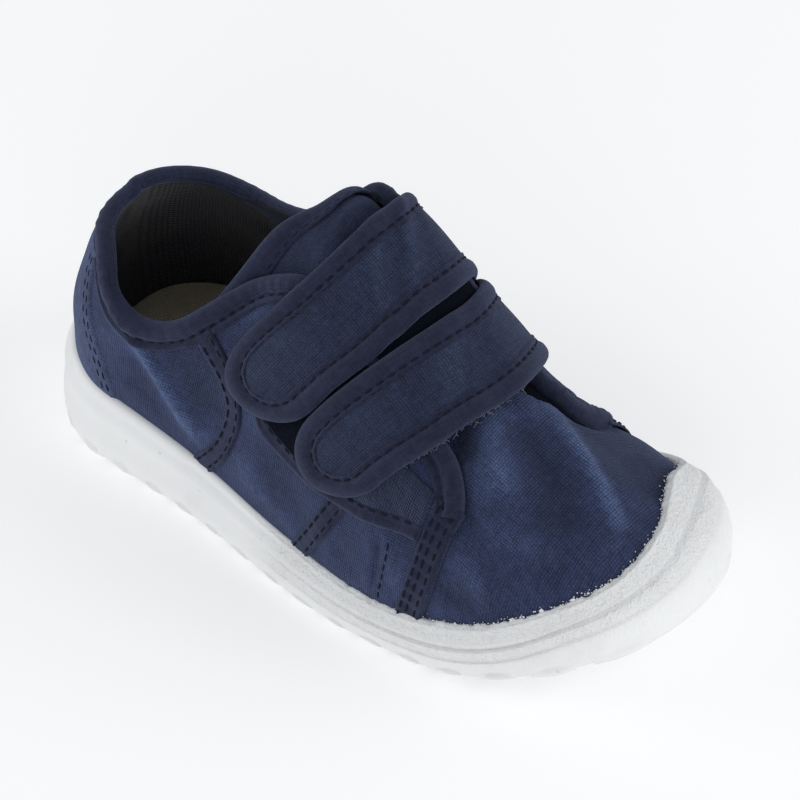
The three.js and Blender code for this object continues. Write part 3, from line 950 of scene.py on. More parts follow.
def quarters():
    """Both quarters in one sheet round the heel, open at the collar and underneath."""
    halves = []
    for edge, foot, flank in ((outer_edge, FEATHER, -1), (inner_edge, 1 - FEATHER, 1)):
        index = np.linspace(0, len(edge.along) - 1, QUARTER_STATIONS)
        along = np.interp(index, np.arange(len(edge.along)), edge.along)
        around = np.interp(index, np.arange(len(edge.around)), edge.around)
        sole_line = (along * FOOT_SHARE, np.full(QUARTER_STATIONS, foot))
        grid = even_between(sole_line, (along, around), QUARTER_STEPS)
        flat = np.stack([flank * grid[0] * SOLE_LENGTH, side_girth(*grid, flank)], -1)
        halves.append((grid, flat))
    grid, flat = round_heel(halves)
    piece = shell("quarters", grid, 0.0, -QUARTER_THICK, flat, canvas, lining)
    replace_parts(piece, "upper")


# Where the vamp passes under the quarters' free edges, by place around the foot.
JUNCTION = rows(
    "around along depth",
    (0.00, 0.735, 0.5),
    (0.12, 0.757, 0.5),
    (0.23, 0.765, 0.7),
    (0.28, 0.755, 2.4),
    (0.335, 0.716, 3.0),
    (0.42, 0.688, 4.0),
    (0.50, 0.684, 5.0),
    (0.53, 0.692, 5.5),
    (0.555, 0.716, 6.0),
    (0.575, 0.740, 6.5),
    (0.60, 0.758, 6.5),
    (0.66, 0.773, 3.8),
    (0.76, 0.779, 0.7),
    (0.88, 0.771, 0.5),
    (1.00, 0.757, 0.5),
)
junction_along, junction_depth = curve(JUNCTION, "along"), curve(JUNCTION, "depth")
JUNCTION_LAP, JUNCTION_LENGTH = 0.006, 0.042
VAMP_REAR = 0.645
VAMP_STATIONS, VAMP_STEPS = 150, 170


def vamp_height(along, around):
    """The vamp's outer face: it sinks from just below the quarters to under their edges."""
    ahead = smooth((along - junction_along(around) + JUNCTION_LAP) / JUNCTION_LENGTH)
    return -0.25 - junction_depth(around) * (1 - ahead)


def vamp():
    along = from_turn(np.linspace(to_turn(VAMP_REAR), 0.992, VAMP_STATIONS))
    feet = [(along, np.full(VAMP_STATIONS, foot)) for foot in (FEATHER, 1 - FEATHER)]
    grid = even_between(*feet, VAMP_STEPS)
    height = vamp_height(*grid)
    piece = shell("vamp", grid, height, height - VAMP_THICK, pattern(*grid), canvas, lining)


# The tongue's free rear edge: (along, around).
TONGUE_EDGE = (
    (0.270, 0.200), (0.286, 0.255), (0.294, 0.302), (0.302, 0.370), (0.311, 0.425), (0.325, 0.465),
    (0.343, 0.505), (0.355, 0.560), (0.360, 0.620), (0.362, 0.690),
)
TONGUE_TOP = -1.9
TONGUE_THICK = 1.8
TONGUE_FRONT = 0.70
TONGUE_SEAM = -4.3
# The binding rolled over that edge, which stands up from the tongue.
TONGUE_ROLL = outline_of(
    [(-5.4, 0.05), (-5.3, 0.4), (-4.8, 0.45), (-4.3, 0.3), (-3.8, 0.6), (-2.8, 1.15), (-1.6, 1.35),
     (-0.5, 1.1), (0.3, 0.4), (0.6, -0.7), (0.3, -1.8), (-1.0, -2.5), (-3.6, -2.5), (-5.0, -2.2)],
    [(-5.4, 0.0), (-3.0, 0.0), (0.0, 0.0), (0.1, -0.9), (0.0, -1.8), (-3.0, -1.85), (-5.0, -1.85)],
    18,
) + [0.0, TONGUE_TOP]


def tongue():
    """The tongue dips under the straps and again toward the throat."""
    edge = line_through(*TONGUE_EDGE)
    count = len(edge.along)
    ahead = (np.full(count, TONGUE_FRONT), np.linspace(0.225, 0.70, count))
    grid = even_between((edge.along, edge.around), ahead, 70)
    top = TONGUE_TOP - 1.3 * smooth((grid[0] - 0.34) / 0.06) - 2.3 * smooth((grid[0] - 0.49) / 0.07)
    piece = shell("tongue_cloth", grid, top, top - TONGUE_THICK, pattern(*grid), strap_canvas, lining)
    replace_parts(piece, "tongue")
    roll = ribbon("tongue_binding", edge, TONGUE_ROLL, twill, pucker=(-2.0, 1.5, 0.1))
    seam = Sewing()
    seam.on(edge, TONGUE_SEAM, TONGUE_TOP + 0.42, radius=FINE_THREAD)
    seam.piece("tongue_stitches", thread)


# The binding folded over the quarters' free edge: outer face, over the edge, inner face.
BINDING_OUTSIDE = [
    (5.6, 0.05), (5.5, 0.5), (5.1, 0.62), (4.6, 0.58), (4.2, 0.45), (3.8, 0.4), (3.4, 0.75), (2.7, 1.3),
    (1.7, 1.5), (0.7, 1.35), (-0.1, 0.85), (-0.55, 0.1), (-0.75, -0.9), (-0.5, -1.9), (0.1, -2.4),
    (0.7, -2.55), (1.2, -2.45), (1.7, -2.1), (1.9, -1.9),
]
BINDING_INSIDE = [
    (5.6, 0.0), (4.0, 0.02), (0.0, 0.02), (-0.1, -0.85), (0.0, -1.72), (1.0, -1.72), (1.9, -1.75),
]
BINDING_SEAM = 3.8
SEAM_FRONT = 0.70       # its stitches begin here on the outer side


# The lining's padded top edge, which covers the binding's back along the inner side.
LINING_ROLL = outline_of(
    [(-0.2, -1.2), (-0.55, -1.3), (-0.75, -1.9), (-0.4, -2.7), (0.8, -3.1), (2.6, -3.0), (5.0, -2.2)],
    [(-0.1, -1.3), (0.4, -1.8), (2.4, -1.9), (5.0, -2.0)],
    12,
)
ROLL_REAR, ROLL_FRONT = 0.025, 0.42
ROLL_SLIM, ROLL_TAPER = 0.12, 26.0
ROLL_ANCHOR = np.array([2.6, -1.6])


def lining_roll():
    """The padded edge starts slim at the heel and grows to its full section."""
    first, end = np.searchsorted(inner_edge.along, (ROLL_REAR, ROLL_FRONT))
    line = Line(inner_edge.along[first:end], inner_edge.around[first:end])
    grow = ROLL_SLIM + (1 - ROLL_SLIM) * smooth(line.length / ROLL_TAPER)[:, None]
    rings = [line.points(*(ROLL_ANCHOR + grow * (spot - ROLL_ANCHOR)).T) for spot in LINING_ROLL]
    across = np.arange(len(LINING_ROLL)) * 0.7
    swept("lining_edge", rings, line.length, across, lining_twill)


def throat_gusset_shade():
    """A near-black sheet in the gap between the inner flap and the vamp: the lining there, darkened as
    painted shade for the gap.
    """
    line = line_through((0.640, 0.575), (0.700, 0.582), (0.735, 0.590), (0.760, 0.604), (0.775, 0.630))
    section = outline_of([(-3.8, -2.2), (0.0, -1.6), (3.8, -2.2)], [(-3.8, -2.6), (3.8, -2.6)], 6)
    ribbon("throat_gusset_shade", line, section, pile_and_gap_shade)


def collar_binding():
    """One folded tape round the collar and down both quarters' free edges."""
    whole = outer_edge.reversed().joined(inner_edge)
    section = outline_of(BINDING_OUTSIDE, BINDING_INSIDE, 26)
    piece = ribbon("collar_binding", whole, section, twill, (BINDING_SEAM,), 0.4, (2.0, 1.2, 0.11))
    seam = Sewing()
    start = np.searchsorted(-whole.along[: len(whole.along) // 2], -SEAM_FRONT)
    path = whole.points(np.full(len(whole.length), BINDING_SEAM), 0.24)
    seam.run(path[start:], whole.normal[start:])
    seam.piece("collar_stitches", thread)


# A flat tape's section, one unit wide, and where its fold lies, in shares of its width.
TAPE_SECTION = outline_of(
    [(-0.5, 0.02), (-0.48, 0.42), (-0.36, 0.62), (0.0, 0.58), (0.36, 0.62), (0.48, 0.42), (0.5, 0.02)],
    [(-0.5, 0.0), (0.5, 0.0)],
    12,
)
FOLD_PLACE, FOLD_REACH = 0.38, 0.10


def tape_section(width, fold=0.0):
    """A flat tape's section. "fold" raises its left edge, or below 0 its right edge."""
    section = TAPE_SECTION * [width, 1.0]
    place = math.copysign(FOLD_PLACE * width, fold)
    raised = abs(fold) * np.exp(-(((section[:, 0] - place) / (FOLD_REACH * width)) ** 2))
    return section + np.stack([np.zeros(len(section)), raised * (section[:, 1] > 0.1)], -1)


# Tapes sewn flat on the quarters' sides, each from its top end down to the sole.
SIDE_TAPES = {
    "rear_side_tape": (
        (0.287, 0.186), (0.310, 0.176), (0.348, 0.158), (0.376, 0.125), (0.362, 0.070), (0.314, 0.006),
    ),
    "front_side_tape": ((0.600, 0.160), (0.586, 0.128), (0.564, 0.080), (0.524, 0.006)),
    "rear_inner_tape": (
        (0.290, 0.812), (0.320, 0.822), (0.350, 0.850), (0.366, 0.890), (0.352, 0.940), (0.318, 0.994),
    ),
    "front_inner_tape": ((0.600, 0.790), (0.600, 0.860), (0.580, 0.930), (0.556, 0.994)),
}
SIDE_TAPE_WIDTH = 5.0
SIDE_TAPE_SEAMS = (-1.5, 1.3)
# Tapes over the seams between the quarters and the vamp.
FRONT_TAPES = {
    "outer_front_seam_tape": (
        (0.750, 0.262), (0.748, 0.230), (0.746, 0.160), (0.742, 0.095), (0.728, 0.006),
    ),
    "inner_front_seam_tape": (
        (0.768, 0.735), (0.768, 0.775), (0.763, 0.850), (0.756, 0.920), (0.746, 0.994),
    ),
}
FRONT_TAPE_WIDTH = 6.6
FRONT_TAPE_SEAMS = (-2.2, -0.6, 1.4)
# Close stitches across the outer front tape's top end, and a plain seam behind it.
TACK = ((0.733, 0.254), (0.748, 0.256), (0.766, 0.260))
PLAIN_SEAM = ((0.678, 0.150), (0.680, 0.100), (0.674, 0.020))


def side_tapes():
    sewn = Sewing()
    for name, places in SIDE_TAPES.items():
        line = line_through(*places)
        front = -1 if "inner" in name else 1
        seams = [across * front for across in SIDE_TAPE_SEAMS]
        section = tape_section(SIDE_TAPE_WIDTH, 0.35 * front)
        ribbon(name, line, section, twill, seams)
        for across in seams:
            sewn.on(line, across, 0.62, radius=FINE_THREAD)
    for name, places in FRONT_TAPES.items():
        line = line_through(*places)
        section = tape_section(FRONT_TAPE_WIDTH, 0.4)
        ribbon(name, line, section, twill, FRONT_TAPE_SEAMS)
        for across in FRONT_TAPE_SEAMS:
            sewn.on(line, across, 0.64, radius=FINE_THREAD)
    tack = line_through(*TACK, step=0.4)
    for across in (-0.5, 0.0, 0.5):
        sewn.on(tack, across, 0.85, pitch=1.3, length=1.5, radius=FINE_THREAD)
    sewn.on(line_through(*PLAIN_SEAM), 0.9, 0.05, radius=FINE_THREAD, pitch=2.4)
    sewn.piece("quarter_stitches", thread)


# The strip over the back of the heel: half its reach, by place around.
HEEL_STRIP = rows(
    "around along",
    (0.00, 0.175),
    (0.04, 0.142),
    (0.10, 0.086),
    (0.16, 0.060),
    (0.28, 0.050),
)
HEEL_TOP = 0.150
HEEL_HEIGHT = 0.62      # over the canvas
HEEL_SEAMS = (1.5, 3.1)
TURN_LENGTH = 120.0     # the cloth's length over a whole turn, near the heel


def heel_strip():
    reach = curve(HEEL_STRIP, "along")
    around = np.linspace(0.002, HEEL_TOP, 120)
    share = np.linspace(0, 1, 44)
    halves = []
    sewn = Sewing()
    for flank in (-1, 1):
        place = around if flank < 0 else 1 - around
        turn = to_turn(reach(around))[None, :] * share[:, None]
        grid = np.stack([from_turn(turn), np.broadcast_to(place, turn.shape)])
        flat = np.stack([flank * turn * TURN_LENGTH, side_girth(*grid, flank)], -1)
        halves.append((grid, flat))
        edge = Line(reach(around), place)
        for inset in HEEL_SEAMS:
            sewn.on(edge, -flank * inset, HEEL_HEIGHT + 0.04, radius=0.2)
    grid, flat = round_heel(halves)
    side = np.concatenate([share[::-1], share[1:]])[:, None]
    height = HEEL_HEIGHT * rounded(1 - side, 0.06, 2) + np.zeros(grid[0].shape)
    shell("heel_strip", grid, height, -0.1, flat, smooth_canvas, twill)
    sewn.piece("heel_stitches", thread)


# The loop patch under the straps' tips: its lower edge, (along, around).
PATCH_EDGE = (
    (0.418, 0.160), (0.435, 0.142), (0.475, 0.134), (0.519, 0.133), (0.579, 0.139), (0.635, 0.151),
    (0.672, 0.164), (0.700, 0.175), (0.724, 0.180),
)
PATCH_TOP = 0.262
PATCH_SPLIT = 0.610     # fuzzy and near black behind this place, loop cloth that also stands as painted shade between the straps' tips; darkened canvas ahead of it
PATCH_HEIGHT = 0.85
PATCH_RIM = outline_of(
    [(-1.0, 0.0), (-0.95, 0.7), (-0.4, 1.15), (0.3, 1.15), (0.8, 0.9), (1.6, 0.9), (2.6, 0.9)],
    [(-1.0, -0.02), (2.6, -0.02)],
    10,
)
# The fuzzy tape seen between the two straps, near black: it also stands for the shade in the gap between
# them.
BED_LINE = ((0.508, 0.150), (0.530, 0.200), (0.562, 0.350), (0.579, 0.500), (0.575, 0.620))
BED_SECTION = outline_of(
    [(-4.4, 0.0), (-4.3, 0.9), (0.0, 1.2), (4.3, 0.9), (4.4, 0.0)], [(-4.4, -0.1), (4.4, -0.1)], 8
)


def loop_patch():
    edge = line_through(*PATCH_EDGE)
    count = len(edge.along)
    top = (np.linspace(0.44, 0.722, count), np.full(count, PATCH_TOP))
    grid = even_between((edge.along, edge.around), top, 40)
    split = int(np.searchsorted(edge.along, PATCH_SPLIT))
    # the front part is canvas darkened as painted shade; the rear part is near-black loop cloth that also
    # stands for the shade between the straps
    parts = {"loop_patch": (grid[:, : split + 1], pile_and_gap_shade), "patch_front": (grid[:, split:], patch_canvas_shaded)}
    for name, (part, face) in parts.items():
        shell(name, part, PATCH_HEIGHT, 0.0, pattern(*part), face, pile_and_gap_shade)
    ribbon("loop_patch_edge", edge, PATCH_RIM, twill)
    sewn = Sewing()
    sewn.on(edge, 2.0, 0.98, radius=0.28)
    sewn.piece("loop_patch_stitches", thread)
    ribbon("hook_tape_bed_shade", line_through(*BED_LINE), BED_SECTION, pile_and_gap_shade)


# ---------------------------------------------------------------- the straps

STRAP_WIDTHS = {"rear_strap": 24.0, "front_strap": 22.4}
STRAPS = {
    "rear_strap": rows(
        "around along",
        (0.15, 0.398), (0.20, 0.430), (0.34, 0.498), (0.50, 0.518), (0.64, 0.500), (0.80, 0.460),
    ),
    "front_strap": rows(
        "around along",
        (0.14, 0.547), (0.20, 0.578), (0.35, 0.639), (0.50, 0.663), (0.64, 0.640), (0.80, 0.580),
    ),
}
# Soft cross folds on each strap: distance from the tip, slant, width and height.
STRAP_FOLDS = {
    "rear_strap": (
        (43.0, 0.5, 1.9, 0.45), (47.5, 0.6, 1.9, -0.35), (51.5, 0.5, 1.9, 0.45), (56.0, 0.4, 2.1, -0.35),
        (27.0, -0.4, 5.0, -0.25),
    ),
    "front_strap": ((40.0, 0.5, 3.5, 0.4), (48.0, 0.3, 3.0, -0.4), (24.0, -0.3, 5.0, -0.3)),
}
STRAP_LOW = 1.25        # the strap's under face and outer face, over the last
STRAP_CLOTH = 2.75
BINDING_WIDTH = 5.9
STRAP_SEAM = 4.5
STRAP_CROWN = 0.25      # how much higher the strap's middle stands than its edges


class Strap:
    """Places on a strap: from its tip, across it, and height over the last."""

    def __init__(self, name):
        self.name = name
        self.width = STRAP_WIDTHS[name]
        table = STRAPS[name]
        self.route = curve(table, "along")
        around = np.linspace(table["around"][0], table["around"][-1], 400)
        route = last(self.route(around), around) + outward(self.route(around), around) * 1.7
        self.size = distances(route)
        self.around = around
        ahead, behind = (last(self.route(around) + s, around) for s in (0.01, -0.01))
        self.stretch = np.linalg.norm(ahead - behind, axis=1) / 0.02
        self.full = self.size[-1]

    def folds(self, distance, across):
        """How far the soft cross folds lift the strap."""
        lift = np.zeros(np.shape(distance))
        for place, slant, width, rise in STRAP_FOLDS[self.name]:
            lift = lift + rise * np.exp(-(((distance - place + slant * across) / width) ** 2))
        return lift

    def points(self, distance, across, height):
        around = np.interp(distance, self.size, self.around)
        along = self.route(around) + across / np.interp(around, self.around, self.stretch)
        lift = self.folds(distance, across) + height
        return last(along, around) + outward(along, around) * lift[..., None]

    def rim(self):
        """The strap's edge from the square end round the tip and back: centre, outward, length."""
        radius = self.width / 2
        straight = np.linspace(self.full, radius, int((self.full - radius) / LINE_STEP))
        bend = np.linspace(0, np.pi, int(np.pi * radius / LINE_STEP))[1:-1]
        one, same = np.ones(len(straight)), np.zeros(len(bend))
        centre = np.concatenate([straight, same + radius, straight[::-1]])
        out_length = np.concatenate([one * 0, -np.sin(bend), one * 0])
        out_across = np.concatenate([-one, -np.cos(bend), one])
        turn = np.concatenate([[0], np.abs(np.diff(centre))])
        turn[len(straight) : len(straight) + len(bend) + 1] = radius * (bend[1] - bend[0])
        return centre, out_length, out_across, turn.cumsum()

    def strip(self, inset, height, ripple=0.0):
        """Points along the strap's edge, drawn in by "inset"."""
        centre, out_length, out_across, length = self.rim()
        radius = self.width / 2 - inset
        wave = ripple * np.cos(2 * np.pi * length / STITCH_PITCH)
        return self.points(centre + out_length * radius, out_across * radius, height + wave)


def strap_binding(name, strap):
    """The tape folded round the strap's edge, drawn in where its stitches are."""
    rings = []
    for inset, height in STRAP_BINDING:
        near = math.exp(-(((inset - STRAP_SEAM) / SEAM_REACH) ** 2)) * (height > STRAP_LOW + 0.6)
        rings.append(strap.strip(inset, height - 0.3 * near, -0.10 * near))
    across = STRAP_BINDING[:, 0] + ACROSS_TURN * STRAP_BINDING[:, 1]
    return swept(name, rings, strap.rim()[3], across, twill)


def strap_face(name, strap, inset=4.6):
    """The strap's canvas between its bindings, with fuzzy loop cloth on its under face."""
    across = np.linspace(-1, 1, 33)[None, :]
    half = strap.width / 2 - inset
    tip = inset + half * (1 - np.cos(np.linspace(0.06, np.pi / 2, 26)))
    straight = np.linspace(inset + half, strap.full - 0.3, 90)[1:]
    distance = np.concatenate([tip, straight])[:, None]
    width = half * rounded(distance - inset, half, 2)
    d, a = np.broadcast_arrays(distance, across * width)
    outer = strap.points(d, a, STRAP_CLOTH + STRAP_CROWN * (1 - across**2))
    inner = strap.points(d, a, STRAP_LOW + 0.15)
    flat = np.stack([d, a], -1)
    # the folds' heights give the strap its rubbing and painted light: painted highlight on raised folds,
    # painted shade between them
    return sheet(name, outer, inner, flat, 0.5 * strap.folds(d, a), (strap_canvas, pile_and_gap_shade))


# The section of the straps' binding: (in from the strap's edge, height).
STRAP_BINDING = outline_of(
    [(BINDING_WIDTH, STRAP_CLOTH), (BINDING_WIDTH - 0.15, STRAP_CLOTH + 0.42), (5.5, STRAP_CLOTH + 0.5),
     (5.0, STRAP_CLOTH + 0.42), (4.5, STRAP_CLOTH + 0.3), (3.9, STRAP_CLOTH + 0.5),
     (2.7, STRAP_CLOTH + 0.78), (1.3, STRAP_CLOTH + 0.65), (0.3, STRAP_CLOTH + 0.1), (0.0, 2.1),
     (0.2, STRAP_LOW + 0.2), (1.2, STRAP_LOW), (3.2, STRAP_LOW), (BINDING_WIDTH, STRAP_LOW + 0.1)],
    [(BINDING_WIDTH, STRAP_CLOTH - 0.08), (3.0, STRAP_CLOTH - 0.1), (1.2, STRAP_CLOTH - 0.3), (1.0, 2.1),
     (1.2, STRAP_LOW + 0.5), (3.0, STRAP_LOW + 0.4), (BINDING_WIDTH, STRAP_LOW + 0.4)],
    24,
)


def straps():
    for name in STRAPS:
        strap = Strap(name)
        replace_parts(strap_face(f"{name}_canvas", strap), name)
        strap_binding(f"{name}_binding", strap)
        sewn = Sewing()
        path = strap.strip(STRAP_SEAM, STRAP_CLOTH + 0.20)
        above = strap.strip(STRAP_SEAM, STRAP_CLOTH + 1.20)
        sewn.run(path, unit(above - path))
        sewn.piece(f"{name}_stitches", thread)


FIBRES = 90
FIBRE_RADIUS = 0.045


def frayed_hook_tape():
    """Short loose fibres of hook tape along the front strap's forward edge."""
    random = np.random.default_rng(7)
    strap = Strap("front_strap")
    half = strap.width / 2
    t = np.linspace(0, 1, 5)[:, None]
    angle = np.linspace(0, 2 * np.pi, 4, endpoint=False)[None, :, None]
    rings = []
    for _ in range(FIBRES):
        distance = random.uniform(18.0, 52.0)
        start = np.array([distance, half - random.uniform(-0.2, 1.0), STRAP_LOW + random.uniform(0.0, 0.9)])
        lean = np.array([random.normal(0, 0.9), random.uniform(0.1, 0.8), random.uniform(-0.7, 0.4)])
        curl = random.normal(0, 0.5, 3)
        path = start + lean * t * random.uniform(0.5, 1.3) + curl * t * t
        place = strap.points(*path.T)
        ahead = unit(np.gradient(place, axis=0))
        side = unit(np.cross(ahead, [0.0, 0.0, 1.0]))
        up = np.cross(side, ahead)
        wheel = side[:, None, :] * np.cos(angle) + up[:, None, :] * np.sin(angle)
        rings.append(place[:, None, :] + wheel * FIBRE_RADIUS)
    tubes("hook_tape_fibres", np.array(rings), 0.0, pale_thread)


# ---------------------------------------------------------------- insole and sole


INSOLE_INSET = 4.7
INSOLE_THICK = 3.0
INSOLE_LIFT = 0.3       # over the cup's floor


def insole():
    """The insole is dished: its edge is raised a little, and the heel's part is sunk."""
    stations = from_turn(np.linspace(0.012, 0.988, 120))
    across = np.linspace(-1, 1, 41)[None, :]
    x, middle, half = (values[:, None] for values in cross_line(stations, INSOLE_INSET))
    y = middle + half * across + SHIFT
    x = np.broadcast_to(x, y.shape)
    floor = footbed(stations)[:, None] + INSOLE_LIFT
    ends = (rounded(stations, 0.03, 2) * rounded(1 - stations, 0.03, 2))[:, None]
    dish = INSOLE_THICK + np.abs(across) ** 4 - 0.5 * smooth((0.25 - stations) / 0.2)[:, None]
    top = floor + dish * ends * (0.4 + 0.6 * rounded(1 - np.abs(across), 0.06, 2))
    upper = np.stack([x, y, top], -1)
    lower = np.stack([x, y, np.broadcast_to(floor, y.shape)], -1)
    rings = np.concatenate([upper, lower[:, ::-1]], 1)
    faces = [face[::-1] for face in ring_faces(*rings.shape[:2])]
    piece = make_mesh("insole_cloth", rings, faces, rings[..., :2], None, (insole_tan,))
    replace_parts(piece, "insole")


CAP_LEAD = 0.06         # how much further back the toe cap reaches on the inner side
GROOVE_WIDTH, GROOVE_DEPTH, GROOVE_PITCH, GROOVE_MARGIN = 2.4, 1.6, 9.5, 9.0
GROOVE_EASE = 0.35      # the grooves' walls lean outward by this much
# The rim's section by share of its height: how far in it is, and how much further at the toe.
WALL = rows(
    "share drawn cap",
    (0.00, 2.2, 0.8),
    (0.09, 0.7, 0.2),
    (0.35, 0.0, 0.0),
    (0.62, 0.1, 1.4),
    (0.84, 0.3, 4.6),
    (0.96, 0.7, 7.8),
    (1.00, 1.5, 9.4),
)
wall_drawn, wall_cap = curve(WALL, "drawn"), curve(WALL, "cap")
# How far the wall's foot spreads, by place along the sole.
SPREAD = rows(
    "along out",
    (0.00, 0.4), (0.05, 1.3), (0.15, 2.0), (0.35, 2.4), (0.50, 2.1), (0.60, 1.2), (0.70, 0.1), (1.00, 0.0),
)
spread = curve(SPREAD, "out")
# Rings up the rim. "step" is how far a moulded step is cut in, "rough" how fibrous the rubber is and
# "lug" how far the tread's lugs stand out.
RINGS = rows(
    "share step rough lug",
    (0.000, 0.00, 0.0, 0.9),
    (0.030, 0.00, 0.0, 1.0),
    (0.080, 0.00, 0.0, 0.9),
    (0.130, 0.00, 0.1, 0.3),
    (0.170, 0.00, 0.1, -1.5),
    (0.215, 0.00, 0.1, -1.5),
    (0.270, 0.00, 0.2, -0.3),
    (0.340, 0.00, 0.2, 0.0),
    (0.400, 0.00, 0.3, 0.0),
    (0.450, 0.00, 0.4, 0.0),
    (0.468, 0.10, 0.5, 0.0),
    (0.482, 0.45, 0.7, 0.0),
    (0.520, 0.25, 1.0, 0.0),
    (0.590, 0.05, 1.0, 0.0),
    (0.645, 0.00, 1.0, 0.0),
    (0.664, 0.00, 0.8, 0.0),
    (0.674, 0.70, 0.8, 0.0),
    (0.698, 0.48, 1.0, 0.0),
    (0.740, 0.18, 1.0, 0.0),
    (0.800, 0.04, 1.0, 0.0),
    (0.890, 0.00, 1.0, 0.0),
    (0.945, 0.00, 1.0, 0.0),
    (0.985, 0.00, 0.9, 0.0),
)
LOWER_STEP, UPPER_STEP = 0.475, 0.67
BETWEEN_STEPS = 0.66
TREAD_SHARE = 0.10      # the grooves cut this far up the rim
LUG_REACH = 0.45
# The rim's height round the shoe. "place" is along the outer side up to 1, then back to 2 along the
# inner side.
RIM = rows(
    "place height",
    (0.00, 20.5), (0.06, 17.6), (0.12, 15.6), (0.19, 14.6), (0.25, 13.3), (0.31, 12.0), (0.42, 10.2),
    (0.54, 9.4), (0.68, 9.6), (0.76, 11.6), (0.84, 14.9), (0.92, 20.3), (0.96, 22.8), (0.99, 25.4),
    (1.00, 27.6), (1.01, 29.4), (1.06, 28.8), (1.14, 22.0), (1.22, 16.8), (1.30, 12.8), (1.40, 10.9),
    (1.46, 10.8), (1.58, 12.3), (1.69, 14.6), (1.75, 15.8), (1.88, 19.0), (1.94, 21.0), (2.00, 22.5),
)


def round_turn(place):
    """The place round the shoe in even steps at the heel and the toe."""
    place = np.asarray(place, float)
    return np.where(place > 1, 2 - to_turn(2 - place), to_turn(place))


RIM["place"] = round_turn(RIM["place"])
rim_height = curve(RIM, "height")
# Where the two moulded steps run, by place along the rim, as shares of its height.
STEPS = rows(
    "along lower upper",
    (0.00, 0.46, 0.66),
    (0.80, 0.42, 0.67),
    (0.87, 0.48, 0.72),
    (0.94, 0.62, 0.82),
    (1.06, 0.70, 0.86),
)
lower_step, upper_step = curve(STEPS, "lower"), curve(STEPS, "upper")
# The lip where the rubber meets the canvas: away from the canvas, and up over it.
LIP = ((0.95, 0.15), (0.55, 0.42), (0.10, 0.50), (-0.50, 0.30), (-1.10, -0.60))
RIM_THICK = 1.35        # the rubber's thickness over the canvas, just below its lip
# The heel's part of the rim stands a little prouder and ends in a soft drop.
HEEL_PART, HEEL_DROP, HEEL_PROUD = 0.295, 0.025, 0.6
# The cup's floor, where the rings turn in under the insole: (inset, height over the footbed).
CUP_FLOOR = ((4.6, 1.8), (5.4, 0.0))
ACROSS_STEPS = 17
CRUMBS = 420


def groove_centres():
    end = SOLE_LENGTH / 2 - GROOVE_MARGIN
    return np.linspace(-end, end, round(2 * end / GROOVE_PITCH) + 1)


def groove_depth(x):
    """How deep the tread is cut by the grooves that run across it."""
    near = np.abs(x[..., None] - groove_centres()).min(-1)
    return GROOVE_DEPTH * smooth((GROOVE_WIDTH / 2 + GROOVE_EASE - near) / 0.5)


def sole_stations():
    """Stations along the sole: even ones, and close ones at both walls of each groove."""
    even_ones = from_turn(np.linspace(0, 1, 170)) * SOLE_LENGTH - SOLE_LENGTH / 2
    walls = [
        groove_centres() + flank * (GROOVE_WIDTH / 2 - side)
        for flank in (-1, 1)
        for side in (-GROOVE_EASE, -0.1, 0.15)
    ]
    x = np.unique(np.concatenate([even_ones, *walls]))
    stations = np.clip((x + SOLE_LENGTH / 2) / SOLE_LENGTH, 0, 1)
    keep = np.concatenate([[True], np.diff(to_turn(stations)) > 0.0008])
    stations = stations[keep]
    stations[0], stations[-1] = 0.0, 1.0
    return stations


def last_tree():
    """The last as a tree of faces, to find it from a point beside it."""
    stations, steps = 220, 160
    turn, around = np.linspace(0.002, 0.998, stations), np.linspace(0.002, 0.998, steps)
    points = last(from_turn(turn)[:, None], around[None, :])
    faces = ring_faces(stations, steps, caps=False)
    open_faces = [face for face in faces if face[3] - face[0] == 1]
    return BVHTree.FromPolygons(points.reshape(-1, 3).tolist(), open_faces)


def meet_last(tree, points, inward, height):
    """Where level lines drawn inward from points at a height meet the last, and its normals."""
    found, normals = [], []
    for point, way, z in zip(points, inward, height):
        spot, normal, _, _ = tree.ray_cast(Vector((*point, z)), Vector((*way, 0.0)))
        if normal.dot(Vector((*way, 0.0))) > 0:
            normal = -normal
        found.append(spot)
        normals.append(normal)
    return np.array(found), np.array(normals)


def rubber_flakes(along, seat, normal, down):
    """Crumbs of rubber left on the canvas above the toe's lip."""
    random = np.random.default_rng(5)
    front = np.flatnonzero(along > 0.70)
    points, faces = [], []
    corners = np.array([(1, 0, 0), (0, 1, 0), (-1, 0, 0), (0, -1, 0), (0, 0, 1), (0, 0, -1)], float)
    sides = [(0, 1, 4), (1, 2, 4), (2, 3, 4), (3, 0, 4), (1, 0, 5), (2, 1, 5), (3, 2, 5), (0, 3, 5)]
    for _ in range(CRUMBS):
        i = random.choice(front)
        share = random.uniform()
        place, up = (values[i] * share + values[i - 1] * (1 - share) for values in (seat, normal))
        place = place - down[i] * (0.45 + random.exponential(0.28)) + up * 0.04
        large = random.uniform() > 0.975
        size = random.uniform(0.35, 0.6) if large else random.uniform(0.07, 0.20)
        grow = size * (0.7 + 0.6 * random.uniform(size=(6, 1)))
        turn = Vector(up).to_track_quat("Z", "Y").to_matrix()
        shape = corners * grow * [random.uniform(0.8, 1.7), 1, 0.5]
        faces += [tuple(len(points) + corner for corner in face) for face in sides]
        points += [Vector(place) + turn @ Vector(corner) for corner in shape]
    points = np.array(points)
    piece = make_mesh("rubber_flakes", points, faces, points[:, :2], None, (rubber_white,))


